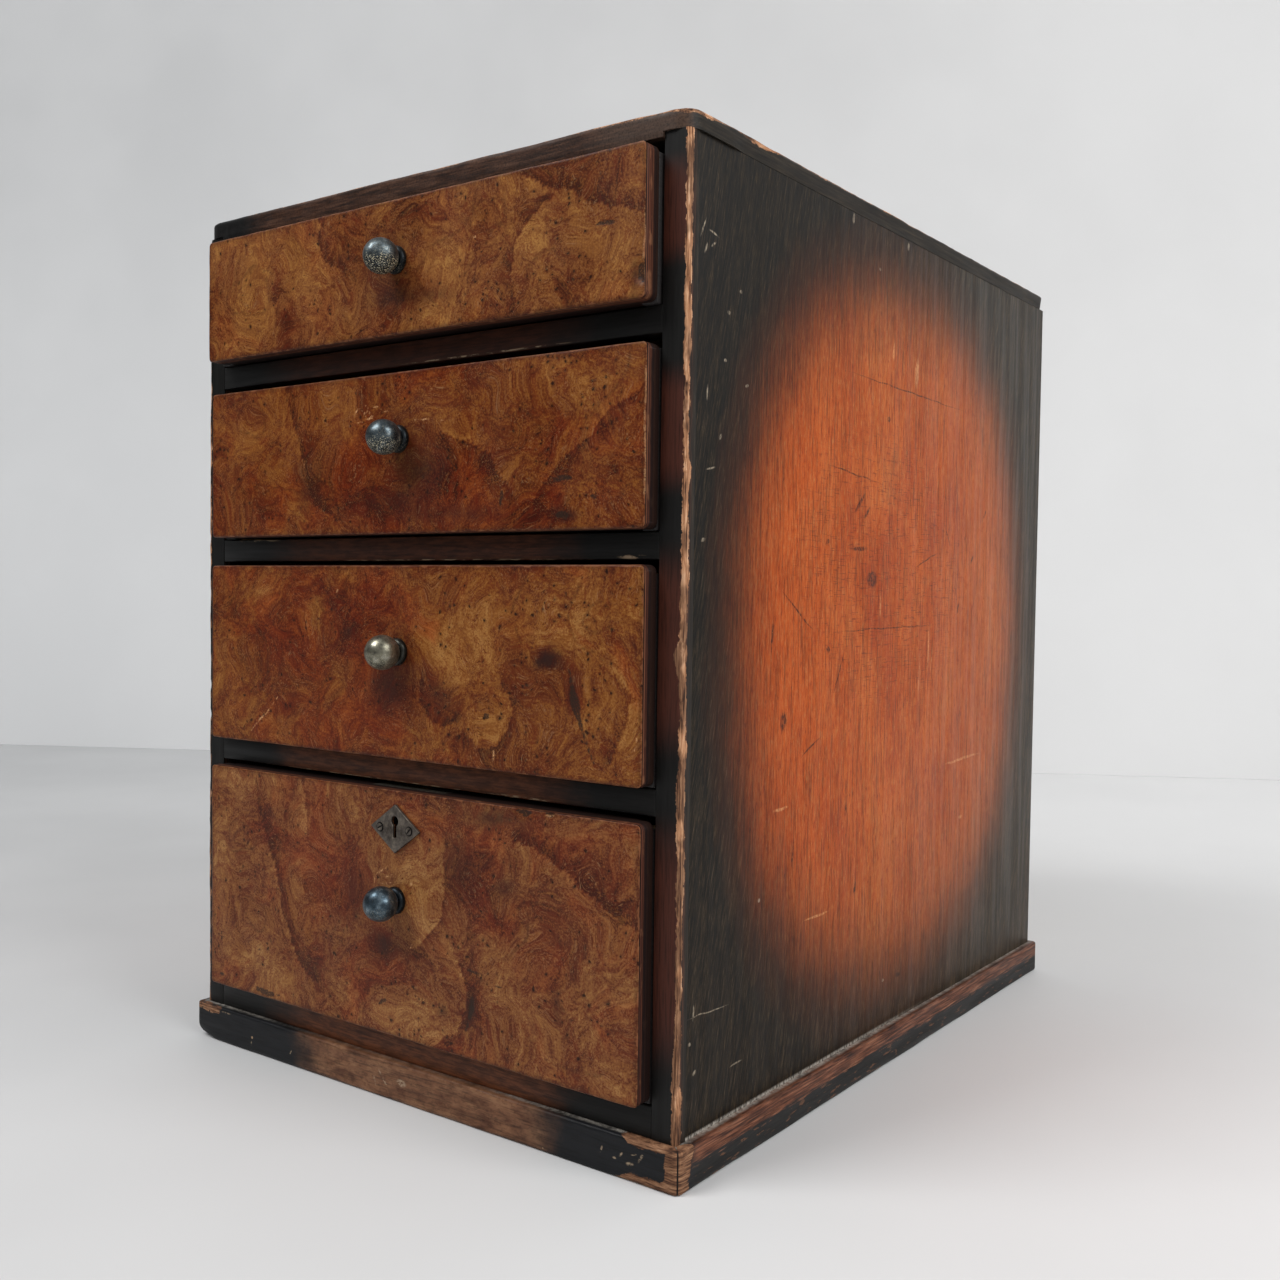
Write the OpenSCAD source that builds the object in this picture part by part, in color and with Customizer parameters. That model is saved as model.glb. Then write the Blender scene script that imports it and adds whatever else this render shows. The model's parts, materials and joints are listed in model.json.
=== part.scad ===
// Small desktop chest of four drawers in veneered wood.
// Origin: middle of the case's front face line, on the surface it stands on.
// +X is to the right seen from the front, +Y goes to the back, +Z is up.

/* [Case] */
// Outer width across the two side panels
case_w = 273; // [240:1:330]
// Depth from the front edges to the back panel's outer face
case_d = 358; // [320:1:420]
// Thickness of a side panel, which is also the width of the stile seen in front
side_t = 11; // [9:0.5:15]
// Thickness of the lipping glued on the front edge of a side panel
lipping_t = 6; // [4:0.5:7]
// Radius of the worn outer arris of a lipping
lipping_r = 2.4; // [0.5:0.1:2.4]
// Full thickness of the top board between the side panels
top_t = 9.2; // [8:0.2:14]
// Depth of the rabbets in the top board that take the side panels
top_rabbet = 2; // [1:0.5:4]
// How far the top board stands out past the case all round
top_overhang = 1; // [0:0.5:4]
// Radius of the top board's corners seen from above
top_corner_r = 8; // [4:1:14]
// Thickness of the bottom board that the lowest drawer slides on
bottom_t = 12; // [8:0.5:16]
// Thickness of the back panel
back_t = 4; // [3:0.5:6]
// How far the back panel reaches over each side panel
back_lap = 6; // [4:0.5:8]

/* [Plinth] */
// Height of the plinth frame
plinth_h = 16; // [10:1:24]
// How far the plinth stands out past the case all round
plinth_proud = 4; // [2:0.5:8]
// Width of a plinth board seen from above
plinth_w = 18; // [16:1:26]
// Radius of the plinth's corners seen from above
plinth_corner_r = 6; // [3:1:12]

/* [Rails and runners] */
// Thickness of a drawer rail and of the runners behind it
rail_t = 10; // [8:0.5:14]
// Depth of a drawer rail from front to back
rail_d = 30; // [24:1:45]
// Length of the tenon on each end of a rail
tenon_l = 5; // [3:0.5:7]
// Thickness of the tenons
tenon_t = 5; // [4:0.5:6]
// Shoulder in front of and behind a tenon
tenon_shoulder = 8; // [7:0.5:9]
// Width of a runner
runner_w = 12; // [9:0.5:18]
// Depth of a stop block that the closed drawer meets
stop_d = 9; // [6:0.5:14]
// Height of a stop block
stop_h = 16; // [10:1:24]

/* [Openings] */
// Height of the top drawer's opening
opening_h_1 = 58.6; // [50:0.2:80]
// Height of the second drawer's opening
opening_h_2 = 70.6; // [60:0.2:90]
// Height of the third drawer's opening
opening_h_3 = 82.8; // [70:0.2:110]
// Height of the lowest drawer's opening
opening_h_4 = 105.8; // [90:0.2:140]

/* [Drawers] */
// How far a closed drawer's face stands out from the case
front_proud = 7.6; // [4:0.2:9]
// Thickness of a drawer front without its veneer
front_t = 15; // [14:0.5:20]
// Thickness of the burl veneer on a drawer front
veneer_t = 1; // [0.6:0.1:1.4]
// Radius of the arris round a drawer's face
front_edge_r = 1.8; // [1.5:0.1:3]
// Radius of a drawer's face corners seen from the front
front_corner_r = 3; // [2:0.5:5]
// Gap between a drawer front and each stile
front_side_gap = 1; // [0.6:0.1:2]
// Gap under a drawer front
front_bottom_gap = 0.8; // [0.6:0.1:2]
// Gap over the top drawer's front
front_top_gap_1 = 2.9; // [1:0.1:5]
// Gap over the second drawer's front
front_top_gap_2 = 3.6; // [1:0.1:5]
// Gap over the third drawer's front
front_top_gap_3 = 1.9; // [1:0.1:4]
// Gap over the lowest drawer's front
front_top_gap_4 = 1.9; // [1:0.1:4]
// How far the top drawer stands open at rest
drawer_1_ajar = 2; // [0:0.5:10]
// Thickness of a drawer's side
drawer_side_t = 7; // [6:0.5:10]
// Thickness of a drawer's back
drawer_back_t = 7; // [6:0.5:10]
// Thickness of a drawer's bottom panel
drawer_bottom_t = 4; // [3:0.5:6]
// Depth of the grooves that hold the bottom panel
groove_d = 3.5; // [2:0.5:4.5]
// Height of the bottom panel over the lower edges of the drawer's sides
groove_rise = 5; // [4:0.5:8]
// Length of the lap where a drawer's side is let into the end of its front
lap_d = 8; // [6:0.5:10]
// Gap over a drawer's sides
side_top_gap = 5; // [4:0.5:8]
// How much lower a drawer's back is than its sides
back_drop = 5; // [2:0.5:10]
// Gap between a drawer and the surface that it slides on
running_gap = 0.3; // [0.2:0.05:0.5]
// Gap between a closed drawer and its stop blocks
stop_gap = 0.3; // [0.2:0.05:0.6]

/* [Knobs] */
// Diameter of the knob's ball
ball_d = 14.4; // [12:0.2:18]
// Distance from the drawer's face to the middle of the ball
ball_reach = 8.6; // [7:0.2:12]
// Diameter of the collar at the foot of the knob
collar_d = 10.4; // [8:0.2:14]
// Thickness of the collar
collar_t = 2.6; // [2:0.2:4]
// Diameter of the neck between collar and ball
neck_d = 7.6; // [6:0.2:8]
// Diameter of the knob's screw
knob_screw_d = 4; // [3:0.2:5]
// Clearance hole added round the knob's screw
knob_screw_gap = 0.4; // [0.2:0.1:0.8]
// Diameter of the head of the knob's screw
knob_screw_head_d = 8; // [7:0.5:11]
// Thickness of the head of the knob's screw
knob_screw_head_t = 2.4; // [1.5:0.1:3.5]
// How deep the screw goes into the knob
knob_screw_grip = 8; // [5:0.5:10]
// Height of the top knob over the middle of its drawer front
knob_rise_1 = 2.4; // [0:0.1:8]
// Height of the second knob over the middle of its drawer front
knob_rise_2 = 5.5; // [0:0.1:8]
// Height of the third knob over the middle of its drawer front
knob_rise_3 = 4.4; // [0:0.1:8]
// Height of the lowest knob over the middle of its drawer front
knob_rise_4 = 5.9; // [0:0.1:8]

/* [Lock] */
// Width of the lock's case
lock_w = 42; // [34:1:60]
// Height of the lock's case
lock_h = 32; // [26:1:40]
// Depth of the lock's case
lock_d = 10; // [9:0.5:11]
// Width of the lock's bolt
bolt_w = 14; // [10:0.5:20]
// Thickness of the lock's bolt
bolt_t = 4.4; // [4:0.2:5]
// Height of the lock's bolt
bolt_h = 14; // [10:0.5:18]
// How far the bolt rises into the rail
bolt_throw = 6; // [4:0.5:7]
// Gap round the bolt in its case
bolt_gap = 0.3; // [0.2:0.05:0.5]
// Wall of the lock's case behind the bolt
lock_wall = 1; // [0.8:0.1:1.5]
// Gap round the raised bolt in the rail
mortise_gap = 1; // [0.8:0.1:1.5]
// Width of the diamond escutcheon
escutcheon_w = 28.5; // [24:0.5:40]
// Height of the diamond escutcheon
escutcheon_h = 20.2; // [18:0.2:30]
// Thickness of the escutcheon
escutcheon_t = 1.2; // [0.8:0.1:2]
// Distance from the front's top edge down to the escutcheon's middle
escutcheon_drop = 15.9; // [14:0.1:20]
// Diameter of the keyhole's round part
keyhole_d = 4.2; // [3:0.2:5]
// Width of the keyhole's slot
keyhole_slot_w = 2; // [1.4:0.2:2.6]
// Height of the keyhole's round part over the escutcheon's middle
keyhole_rise = 3.2; // [2:0.2:4]
// Distance from the round part down to the end of the slot
keyhole_slot_l = 7; // [5:0.5:8]
// Distance between the two escutcheon screws
escutcheon_screw_span = 17; // [15:0.5:18]
// Diameter of an escutcheon screw's head
escutcheon_head_d = 3.6; // [3:0.2:4]
// Length of an escutcheon screw's shank
escutcheon_screw_l = 6; // [4:0.5:7]

/* [Nails] */
// Number of nails up each side of the back panel
nail_rows = 6; // [3:1:9]
// Number of nails along the back panel's lower edge
nail_columns = 3; // [2:1:5]
// Diameter of a nail's shank
nail_d = 1.6; // [1.2:0.1:2.2]
// Diameter of a nail's head
nail_head_d = 3.8; // [3:0.2:5]
// Thickness of a nail's head
nail_head_t = 0.6; // [0.4:0.1:1]
// Length of a nail under its head
nail_l = 14; // [10:1:18]
// Distance from the first and last nails to the ends of their row
nail_margin = 14; // [8:1:30]

/* [Hidden] */
$fn = 48;

// Signs of X on the two sides
left = -1;
right = 1;
// How far a cutter runs past what it cuts
over = 1;
// Depth and width of the saw cut in a screw's head
slot_depth = 0.4;
slot_w = 0.7;

// Width and depth of the space inside the case
inner_w = case_w - 2 * side_t;
inner_back = case_d - back_t;
// Thickness of the top board over the side panels
top_edge_t = top_t - top_rabbet;

// Heights, each counted from the surface that the chest stands on
function opening_h(n) = [opening_h_1, opening_h_2, opening_h_3, opening_h_4][n - 1];
function opening_z(n) =
    n == 4 ? plinth_h + bottom_t : opening_z(n + 1) + opening_h(n + 1) + rail_t;
top_z = opening_z(1) + opening_h(1);
total_h = top_z + top_t;
side_top_z = total_h - top_edge_t;

// Drawer sizes that follow from the case
front_w = inner_w - 2 * front_side_gap;
drawer_end = inner_back - stop_d - stop_gap;
box_w = front_w - 2 * drawer_side_t;
front_back_y = veneer_t + front_t - front_proud;
lap_y = front_back_y - lap_d;
function ajar(n) = n == 1 ? drawer_1_ajar : 0;
function top_gap(n) =
    [front_top_gap_1, front_top_gap_2, front_top_gap_3, front_top_gap_4][n - 1];
function front_z(n) = opening_z(n) + front_bottom_gap;
function front_top(n) = opening_z(n) + opening_h(n) - top_gap(n);
function side_z(n) = opening_z(n) + running_gap;
function side_top(n) = opening_z(n) + opening_h(n) - side_top_gap;
function bottom_z(n) = side_z(n) + groove_rise;
function knob_z(n) =
    (front_z(n) + front_top(n)) / 2 + [knob_rise_1, knob_rise_2, knob_rise_3, knob_rise_4][n - 1];

// Lock sizes that follow from the lowest drawer's front
escutcheon_z = front_top(4) - escutcheon_drop;
keyhole_z = escutcheon_z + keyhole_rise;
bolt_y = front_back_y - lock_wall - bolt_gap - bolt_t / 2;
mortise_h = front_top(4) + bolt_throw + mortise_gap - opening_z(4) - opening_h(4);
escutcheon_shank_d = escutcheon_head_d / 2;

// A board between two corners
module board(low, high) {
    translate(low) cube(high - low);
}

// A rectangle with round corners, from its lower left to its upper right corner
module round_rect(low, high, r) {
    translate(low + [r, 0]) square(high - low - [2 * r, 0]);
    translate(low + [0, r]) square(high - low - [0, 2 * r]);
    for (x = [low.x + r, high.x - r]) {
        for (y = [low.y + r, high.y - r]) {
            translate([x, y]) circle(r);
        }
    }
}

// Turns a flat drawing in X and Z into a solid from y0 to y1
module from_front(y0, y1) {
    translate([0, y1, 0]) rotate([90, 0, 0]) linear_extrude(y1 - y0) children();
}

// A cylinder along Y from y0 to y1
module rod_y(x, z, d, y0, y1) {
    translate([x, y1, z]) rotate([90, 0, 0]) cylinder(h = y1 - y0, d = d);
}

// ---- Case ----

module top_board() {
    color("#3a231a") difference() {
        translate([0, 0, top_z]) linear_extrude(top_t) {
            round_rect(
                [-case_w / 2 - top_overhang, -top_overhang],
                [case_w / 2 + top_overhang, case_d + top_overhang],
                top_corner_r
            );
        }
        for (side = [left, right]) {
            translate([side * (inner_w / 2 + side_t), case_d / 2, top_z]) {
                cube([2 * side_t, case_d + 2 * (top_overhang + over), 2 * top_rabbet], center = true);
            }
        }
    }
}

module side_panel(side) {
    color("#2c2a26") difference() {
        translate([side * (inner_w + side_t) / 2, 0, 0]) {
            board([-side_t / 2, lipping_t, plinth_h], [side_t / 2, case_d, side_top_z]);
        }
        translate([side * inner_w / 2, 0, 0]) {
            board([-back_lap, inner_back, plinth_h - over], [back_lap, case_d + over, top_z]);
            for (n = [1 : 3]) {
                rail_tenon(n, tenon_l);
            }
        }
    }
}

module lipping(side) {
    color("#c08a5a") mirror([side == left ? 1 : 0, 0, 0]) translate([0, 0, plinth_h]) {
        linear_extrude(side_top_z - plinth_h) intersection() {
            translate([inner_w / 2, 0]) square([side_t, lipping_t]);
            round_rect([0, 0], [case_w / 2, case_d], lipping_r);
        }
    }
}

module back_panel() {
    color("#9a6b45") board(
        [-inner_w / 2 - back_lap, inner_back, plinth_h],
        [inner_w / 2 + back_lap, case_d, top_z]
    );
}

module bottom_board() {
    color("#3a2a22") board(
        [-inner_w / 2, 0, plinth_h],
        [inner_w / 2, inner_back, plinth_h + bottom_t]
    );
}

// The stub on the end of the rail under drawer n, reaching l to both sides
module rail_tenon(n, l) {
    board(
        [-l, tenon_shoulder, opening_z(n) - (rail_t + tenon_t) / 2],
        [l, rail_d - tenon_shoulder, opening_z(n) - (rail_t - tenon_t) / 2]
    );
}

module rail(n) {
    color("#3f2820") difference() {
        union() {
            board([-inner_w / 2, 0, opening_z(n) - rail_t], [inner_w / 2, rail_d, opening_z(n)]);
            rail_tenon(n, inner_w / 2 + tenon_l);
        }
        if (n == 3) {
            bolt_mortise();
        }
    }
}

// The pocket in the lowest rail that the raised bolt enters
module bolt_mortise() {
    translate([0, bolt_y, opening_z(4) + opening_h(4)]) {
        cube([bolt_w + 2 * mortise_gap, bolt_t + 2 * mortise_gap, 2 * mortise_h], center = true);
    }
}

module runner(n, side) {
    color("#a9794f") translate([side * (inner_w - runner_w) / 2, 0, opening_z(n)]) {
        board([-runner_w / 2, rail_d, -rail_t], [runner_w / 2, inner_back, 0]);
    }
}

module drawer_stops() {
    color("#a9794f") for (n = [1 : 4]) {
        for (side = [left, right]) {
            translate([side * (inner_w - runner_w) / 2, 0, opening_z(n)]) {
                board([-runner_w / 2, inner_back - stop_d, 0], [runner_w / 2, inner_back, stop_h]);
            }
        }
    }
}

module nail(x, z) {
    rod_y(x, z, nail_d, case_d - nail_l, case_d);
    rod_y(x, z, nail_head_d, case_d, case_d + nail_head_t);
}

module back_nails() {
    low_z = plinth_h + nail_margin;
    row_step = (top_z - nail_margin - low_z) / (nail_rows - 1);
    column_step = inner_w / (nail_columns + 1);
    color("#5d5a55") {
        for (side = [left, right]) {
            for (i = [0 : nail_rows - 1]) {
                nail(side * (inner_w + back_lap) / 2, low_z + row_step * i);
            }
        }
        for (i = [1 : nail_columns]) {
            nail(column_step * i - inner_w / 2, plinth_h + bottom_t / 2);
        }
    }
}

// ---- Plinth: four boards with mitred corners ----

plinth_x = case_w / 2 + plinth_proud;
plinth_y0 = -plinth_proud;
plinth_y1 = case_d + plinth_proud;

module plinth_board(corners) {
    color("#33241d") linear_extrude(plinth_h) intersection() {
        round_rect([-plinth_x, plinth_y0], [plinth_x, plinth_y1], plinth_corner_r);
        polygon(corners);
    }
}

// The board that runs along X with its outer edge at y, whose inner side lies towards +Y
// for inward = 1 and towards -Y for inward = -1
module plinth_across(y, inward) {
    plinth_board([
        [-plinth_x, y],
        [plinth_x, y],
        [plinth_x - plinth_w, y + inward * plinth_w],
        [-plinth_x + plinth_w, y + inward * plinth_w]
    ]);
}

module plinth_along(side) {
    plinth_board([
        [side * plinth_x, plinth_y0],
        [side * plinth_x, plinth_y1],
        [side * (plinth_x - plinth_w), plinth_y1 - plinth_w],
        [side * (plinth_x - plinth_w), plinth_y0 + plinth_w]
    ]);
}

// ---- Drawers ----

// A rectangle whose two corners at its low y end are round
module nosed_rect(x0, x1, y0, y1, r) {
    round_rect([x0, y0], [x1, y1], r);
    translate([x0, y0 + r]) square([x1 - x0, y1 - y0 - r]);
}

// The whole thickness of drawer n's front, with a round arris round its face
module front_block(n) {
    y0 = -front_proud;
    w = front_w / 2;
    intersection() {
        from_front(y0, front_back_y) {
            round_rect([-w, front_z(n)], [w, front_top(n)], front_corner_r);
        }
        linear_extrude(total_h) {
            nosed_rect(-w, w, y0, front_back_y, front_edge_r);
        }
        translate([-w - over, 0, 0]) rotate([90, 0, 90]) linear_extrude(front_w + 2 * over) {
            rotate(-90) mirror([1, 0]) {
                nosed_rect(front_z(n), front_top(n), y0, front_back_y, front_edge_r);
            }
        }
    }
}

// Places drawer n's pieces at rest
module at_drawer(n) {
    translate([0, -ajar(n), 0]) children();
}

// The hole for the knob's screw
module screw_bore(n, y0, y1) {
    rod_y(0, knob_z(n), knob_screw_d + knob_screw_gap, y0, y1);
}

module drawer_veneer(n) {
    color("#8a5528") at_drawer(n) difference() {
        intersection() {
            front_block(n);
            board(
                [-front_w, -front_proud - over, 0],
                [front_w, veneer_t - front_proud, total_h]
            );
        }
        screw_bore(n, -front_proud - over, front_back_y);
        if (n == 4) {
            keyhole(-front_proud - over, front_back_y);
        }
    }
}

module drawer_front(n) {
    color("#5a3620") at_drawer(n) difference() {
        intersection() {
            front_block(n);
            board(
                [-front_w, veneer_t - front_proud, 0],
                [front_w, front_back_y, total_h]
            );
        }
        for (side = [left, right]) {
            translate([side * front_w / 2, lap_y, front_z(n) - over]) {
                board([-drawer_side_t, 0, 0], [drawer_side_t, lap_d + over, opening_h(n)]);
            }
        }
        bottom_board_space(n);
        screw_bore(n, -front_proud, front_back_y + over);
        if (n == 4) {
            lock_space();
            keyhole(-front_proud, front_back_y);
        }
    }
}

// The space that drawer n's bottom panel takes, grooves included
module bottom_board_space(n) {
    board(
        [-box_w / 2 - groove_d, front_back_y - groove_d, bottom_z(n)],
        [box_w / 2 + groove_d, drawer_end, bottom_z(n) + drawer_bottom_t]
    );
}

module drawer_side(n, side) {
    color("#b58a5c") at_drawer(n) difference() {
        translate([side * (front_w - drawer_side_t) / 2, 0, 0]) {
            board(
                [-drawer_side_t / 2, lap_y, side_z(n)],
                [drawer_side_t / 2, drawer_end, side_top(n)]
            );
        }
        bottom_board_space(n);
    }
}

module drawer_back(n) {
    color("#b58a5c") at_drawer(n) board(
        [-box_w / 2, drawer_end - drawer_back_t, bottom_z(n) + drawer_bottom_t],
        [box_w / 2, drawer_end, side_top(n) - back_drop]
    );
}

module drawer_bottom(n) {
    color("#c9a173") at_drawer(n) bottom_board_space(n);
}

// Half the outline of the knob: x is the radius, y the distance from the drawer's face
module knob_outline() {
    round_r = collar_t / 2;
    intersection() {
        union() {
            translate([0, ball_reach]) circle(d = ball_d);
            square([neck_d / 2, ball_reach]);
            square([collar_d / 2 - round_r, collar_t]);
            translate([collar_d / 2 - round_r, round_r]) circle(round_r);
            square([collar_d / 2, round_r]);
        }
        square([ball_d, ball_reach + ball_d]);
    }
}

module drawer_knob(n) {
    color("#77808a") at_drawer(n) translate([0, -front_proud, knob_z(n)]) rotate([90, 0, 0]) {
        rotate_extrude() difference() {
            knob_outline();
            translate([-over, -over]) square([over + knob_screw_d / 2, over + knob_screw_grip]);
        }
    }
}

module drawer_knob_screw(n) {
    head_y = front_back_y + knob_screw_head_t;
    color("#8c8578") at_drawer(n) difference() {
        union() {
            rod_y(0, knob_z(n), knob_screw_d, -front_proud - knob_screw_grip, front_back_y);
            rod_y(0, knob_z(n), knob_screw_head_d, front_back_y, head_y);
        }
        translate([0, head_y, knob_z(n)]) {
            cube([knob_screw_head_d + over, 2 * slot_depth, slot_w], center = true);
        }
    }
}

// ---- Lock of the lowest drawer ----

// The pocket in the drawer's front that holds the lock
module lock_space() {
    board(
        [-lock_w / 2, front_back_y - lock_d, front_top(4) - lock_h],
        [lock_w / 2, front_back_y + over, front_top(4) + over]
    );
}

module keyhole(y0, y1) {
    rod_y(0, keyhole_z, keyhole_d, y0, y1);
    board([-keyhole_slot_w / 2, y0, keyhole_z - keyhole_slot_l], [keyhole_slot_w / 2, y1, keyhole_z]);
}

module lock_case() {
    color("#6f6a5e") difference() {
        board(
            [-lock_w / 2, front_back_y - lock_d, front_top(4) - lock_h],
            [lock_w / 2, front_back_y, front_top(4)]
        );
        translate([0, bolt_y, front_top(4)]) {
            cube([bolt_w, bolt_t, 2 * bolt_h] + 2 * bolt_gap * [1, 1, 1], center = true);
        }
        keyhole(front_back_y - lock_d - over, bolt_y);
    }
}

module lock_bolt() {
    color("#a08a50") translate([0, bolt_y, front_top(4) - bolt_h / 2]) {
        cube([bolt_w, bolt_t, bolt_h], center = true);
    }
}

module escutcheon() {
    w = escutcheon_w / 2;
    h = escutcheon_h / 2;
    color("#6b5d4a") difference() {
        from_front(-front_proud - escutcheon_t, -front_proud) {
            translate([0, escutcheon_z]) polygon([[-w, 0], [0, -h], [w, 0], [0, h]]);
        }
        keyhole(-front_proud - 2 * escutcheon_t, front_back_y);
    }
}

module escutcheon_screws() {
    face_y = -front_proud - escutcheon_t;
    color("#8a8172") for (side = [left, right]) {
        translate([side * escutcheon_screw_span / 2, 0, 0]) difference() {
            union() {
                rod_y(0, escutcheon_z, escutcheon_head_d, face_y - slot_depth, face_y);
                rod_y(0, escutcheon_z, escutcheon_shank_d, face_y, face_y + escutcheon_screw_l);
            }
            translate([0, face_y - slot_depth, escutcheon_z]) {
                cube([slot_w, slot_depth, escutcheon_head_d + over], center = true);
            }
        }
    }
}

top_board();
side_panel(left);  // side_left
side_panel(right);  // side_right
lipping(left);  // lipping_left
lipping(right);  // lipping_right
back_panel();
bottom_board();
rail(1);  // rail_1
rail(2);  // rail_2
rail(3);  // rail_3
runner(1, left);  // runner_1_left
runner(1, right);  // runner_1_right
runner(2, left);  // runner_2_left
runner(2, right);  // runner_2_right
runner(3, left);  // runner_3_left
runner(3, right);  // runner_3_right
drawer_stops();
back_nails();
plinth_across(plinth_y0, 1);  // plinth_front
plinth_across(plinth_y1, -1);  // plinth_back
plinth_along(left);  // plinth_left
plinth_along(right);  // plinth_right
drawer_front(1);  // drawer_1_front
drawer_veneer(1);  // drawer_1_veneer
drawer_side(1, left);  // drawer_1_side_left
drawer_side(1, right);  // drawer_1_side_right
drawer_back(1);  // drawer_1_back
drawer_bottom(1);  // drawer_1_bottom
drawer_knob(1);  // drawer_1_knob
drawer_knob_screw(1);  // drawer_1_knob_screw
drawer_front(2);  // drawer_2_front
drawer_veneer(2);  // drawer_2_veneer
drawer_side(2, left);  // drawer_2_side_left
drawer_side(2, right);  // drawer_2_side_right
drawer_back(2);  // drawer_2_back
drawer_bottom(2);  // drawer_2_bottom
drawer_knob(2);  // drawer_2_knob
drawer_knob_screw(2);  // drawer_2_knob_screw
drawer_front(3);  // drawer_3_front
drawer_veneer(3);  // drawer_3_veneer
drawer_side(3, left);  // drawer_3_side_left
drawer_side(3, right);  // drawer_3_side_right
drawer_back(3);  // drawer_3_back
drawer_bottom(3);  // drawer_3_bottom
drawer_knob(3);  // drawer_3_knob
drawer_knob_screw(3);  // drawer_3_knob_screw
drawer_front(4);  // drawer_4_front
drawer_veneer(4);  // drawer_4_veneer
drawer_side(4, left);  // drawer_4_side_left
drawer_side(4, right);  // drawer_4_side_right
drawer_back(4);  // drawer_4_back
drawer_bottom(4);  // drawer_4_bottom
drawer_knob(4);  // drawer_4_knob
drawer_knob_screw(4);  // drawer_4_knob_screw
lock_case();
lock_bolt();
escutcheon();
escutcheon_screws();
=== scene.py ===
# Small desk chest of four drawers: worn lacquer, burl veneer and aged metal.
# Sizes are in millimetres unless a name says otherwise; meshes are scaled to metres when they are made.
import json
import math
import bmesh
import bpy
import numpy as np
from mathutils import Matrix, Vector

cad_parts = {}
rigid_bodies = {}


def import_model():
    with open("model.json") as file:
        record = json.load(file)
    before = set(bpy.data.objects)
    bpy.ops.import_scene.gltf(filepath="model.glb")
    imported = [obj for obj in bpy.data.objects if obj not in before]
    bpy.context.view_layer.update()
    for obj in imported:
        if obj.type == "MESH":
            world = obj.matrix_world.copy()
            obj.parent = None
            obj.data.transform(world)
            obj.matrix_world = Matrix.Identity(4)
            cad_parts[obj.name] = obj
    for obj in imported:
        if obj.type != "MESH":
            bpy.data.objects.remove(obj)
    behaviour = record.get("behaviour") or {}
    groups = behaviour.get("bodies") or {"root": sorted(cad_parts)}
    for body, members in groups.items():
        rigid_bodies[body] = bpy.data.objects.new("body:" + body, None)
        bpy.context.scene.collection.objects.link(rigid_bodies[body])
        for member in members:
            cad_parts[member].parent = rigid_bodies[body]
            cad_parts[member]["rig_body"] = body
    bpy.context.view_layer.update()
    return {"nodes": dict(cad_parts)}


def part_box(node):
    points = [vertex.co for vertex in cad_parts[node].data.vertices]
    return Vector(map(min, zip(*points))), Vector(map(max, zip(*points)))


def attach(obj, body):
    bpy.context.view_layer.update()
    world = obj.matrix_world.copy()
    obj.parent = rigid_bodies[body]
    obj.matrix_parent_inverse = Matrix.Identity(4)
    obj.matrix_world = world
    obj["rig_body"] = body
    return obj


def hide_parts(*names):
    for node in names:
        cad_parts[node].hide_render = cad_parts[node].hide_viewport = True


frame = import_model()
nodes = frame["nodes"]
mm = 0.001
print("frame loaded:", len(nodes), "nodes")


def boxOf(node):
    low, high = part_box(node)
    return np.array(low) / mm, np.array(high) / mm


def smoothNoise(points, size, seed):    # from about -1 to 1, in lumps of that size
    table = np.random.default_rng(seed).uniform(-1, 1, (32, 32, 32))
    place = points / size
    cell = np.floor(place).astype(int)
    part = place - cell
    part = part * part * (3 - 2 * part)
    total = np.zeros(len(points))
    for corner in np.ndindex(2, 2, 2):
        weight = np.where(corner, part, 1 - part).prod(axis=1)
        total += weight * table[tuple(((cell + corner) % 32).T)]
    return total


def gridLines(low, high, edge, step):   # close together near both ends, step apart between them
    near = np.array(edge)
    count = max(2, round((high - low - 2 * near[-1]) / step) + 1)
    middle = np.linspace(low + near[-1], high - near[-1], count)
    return np.concatenate([low + near[:-1], middle, high - near[-2::-1]])


def gridBox(lines):     # the skin of a box as quads that meet at these coordinates
    count = [len(line) for line in lines]
    quads = []
    for axis in range(3):
        a, b = (axis + 1) % 3, (axis + 2) % 3
        step = np.meshgrid(np.arange(count[a] - 1), np.arange(count[b] - 1), indexing="ij")
        i, j = step[0].ravel(), step[1].ravel()
        for end, turn in ((count[axis] - 1, ((0, 0), (1, 0), (1, 1), (0, 1))),
                          (0, ((0, 0), (0, 1), (1, 1), (1, 0)))):
            corners = []
            for di, dj in turn:
                index = [None] * 3
                index[axis], index[a], index[b] = np.full_like(i, end), i + di, j + dj
                corners.append((index[0] * count[1] + index[1]) * count[2] + index[2])
            quads.append(np.stack(corners, axis=1))
    used, faces = np.unique(np.concatenate(quads), return_inverse=True)
    at = used // (count[1] * count[2]), used // count[2] % count[1], used % count[2]
    points = np.stack([np.array(line)[k] for line, k in zip(lines, at)], axis=1)
    return points, faces.reshape(-1, 4)


def insideOutline(flat, low, high, radius):     # depth inside a round-cornered rectangle, and the way out
    centre, half = (low + high) / 2, (high - low) / 2
    offset = flat - centre
    reach = np.abs(offset) - (half - radius)
    corner = np.maximum(reach, 0)
    length = np.linalg.norm(corner, axis=1)
    inCorner = (reach > 0).all(axis=1)
    nearest = np.eye(2)[reach.argmax(axis=1)]
    out = np.where(inCorner[:, None], corner / np.maximum(length, 1e-9)[:, None], nearest)
    return radius - np.where(inCorner, length, reach.max(axis=1)), out * np.sign(offset)


def rounded(flat, low, high, radius):   # the points with the corners rounded, their depth and the way out
    depth, out = insideOutline(flat, low, high, radius)
    flat = flat + out * np.minimum(depth, 0)[:, None]
    return flat, *insideOutline(flat, low, high, radius)


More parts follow.
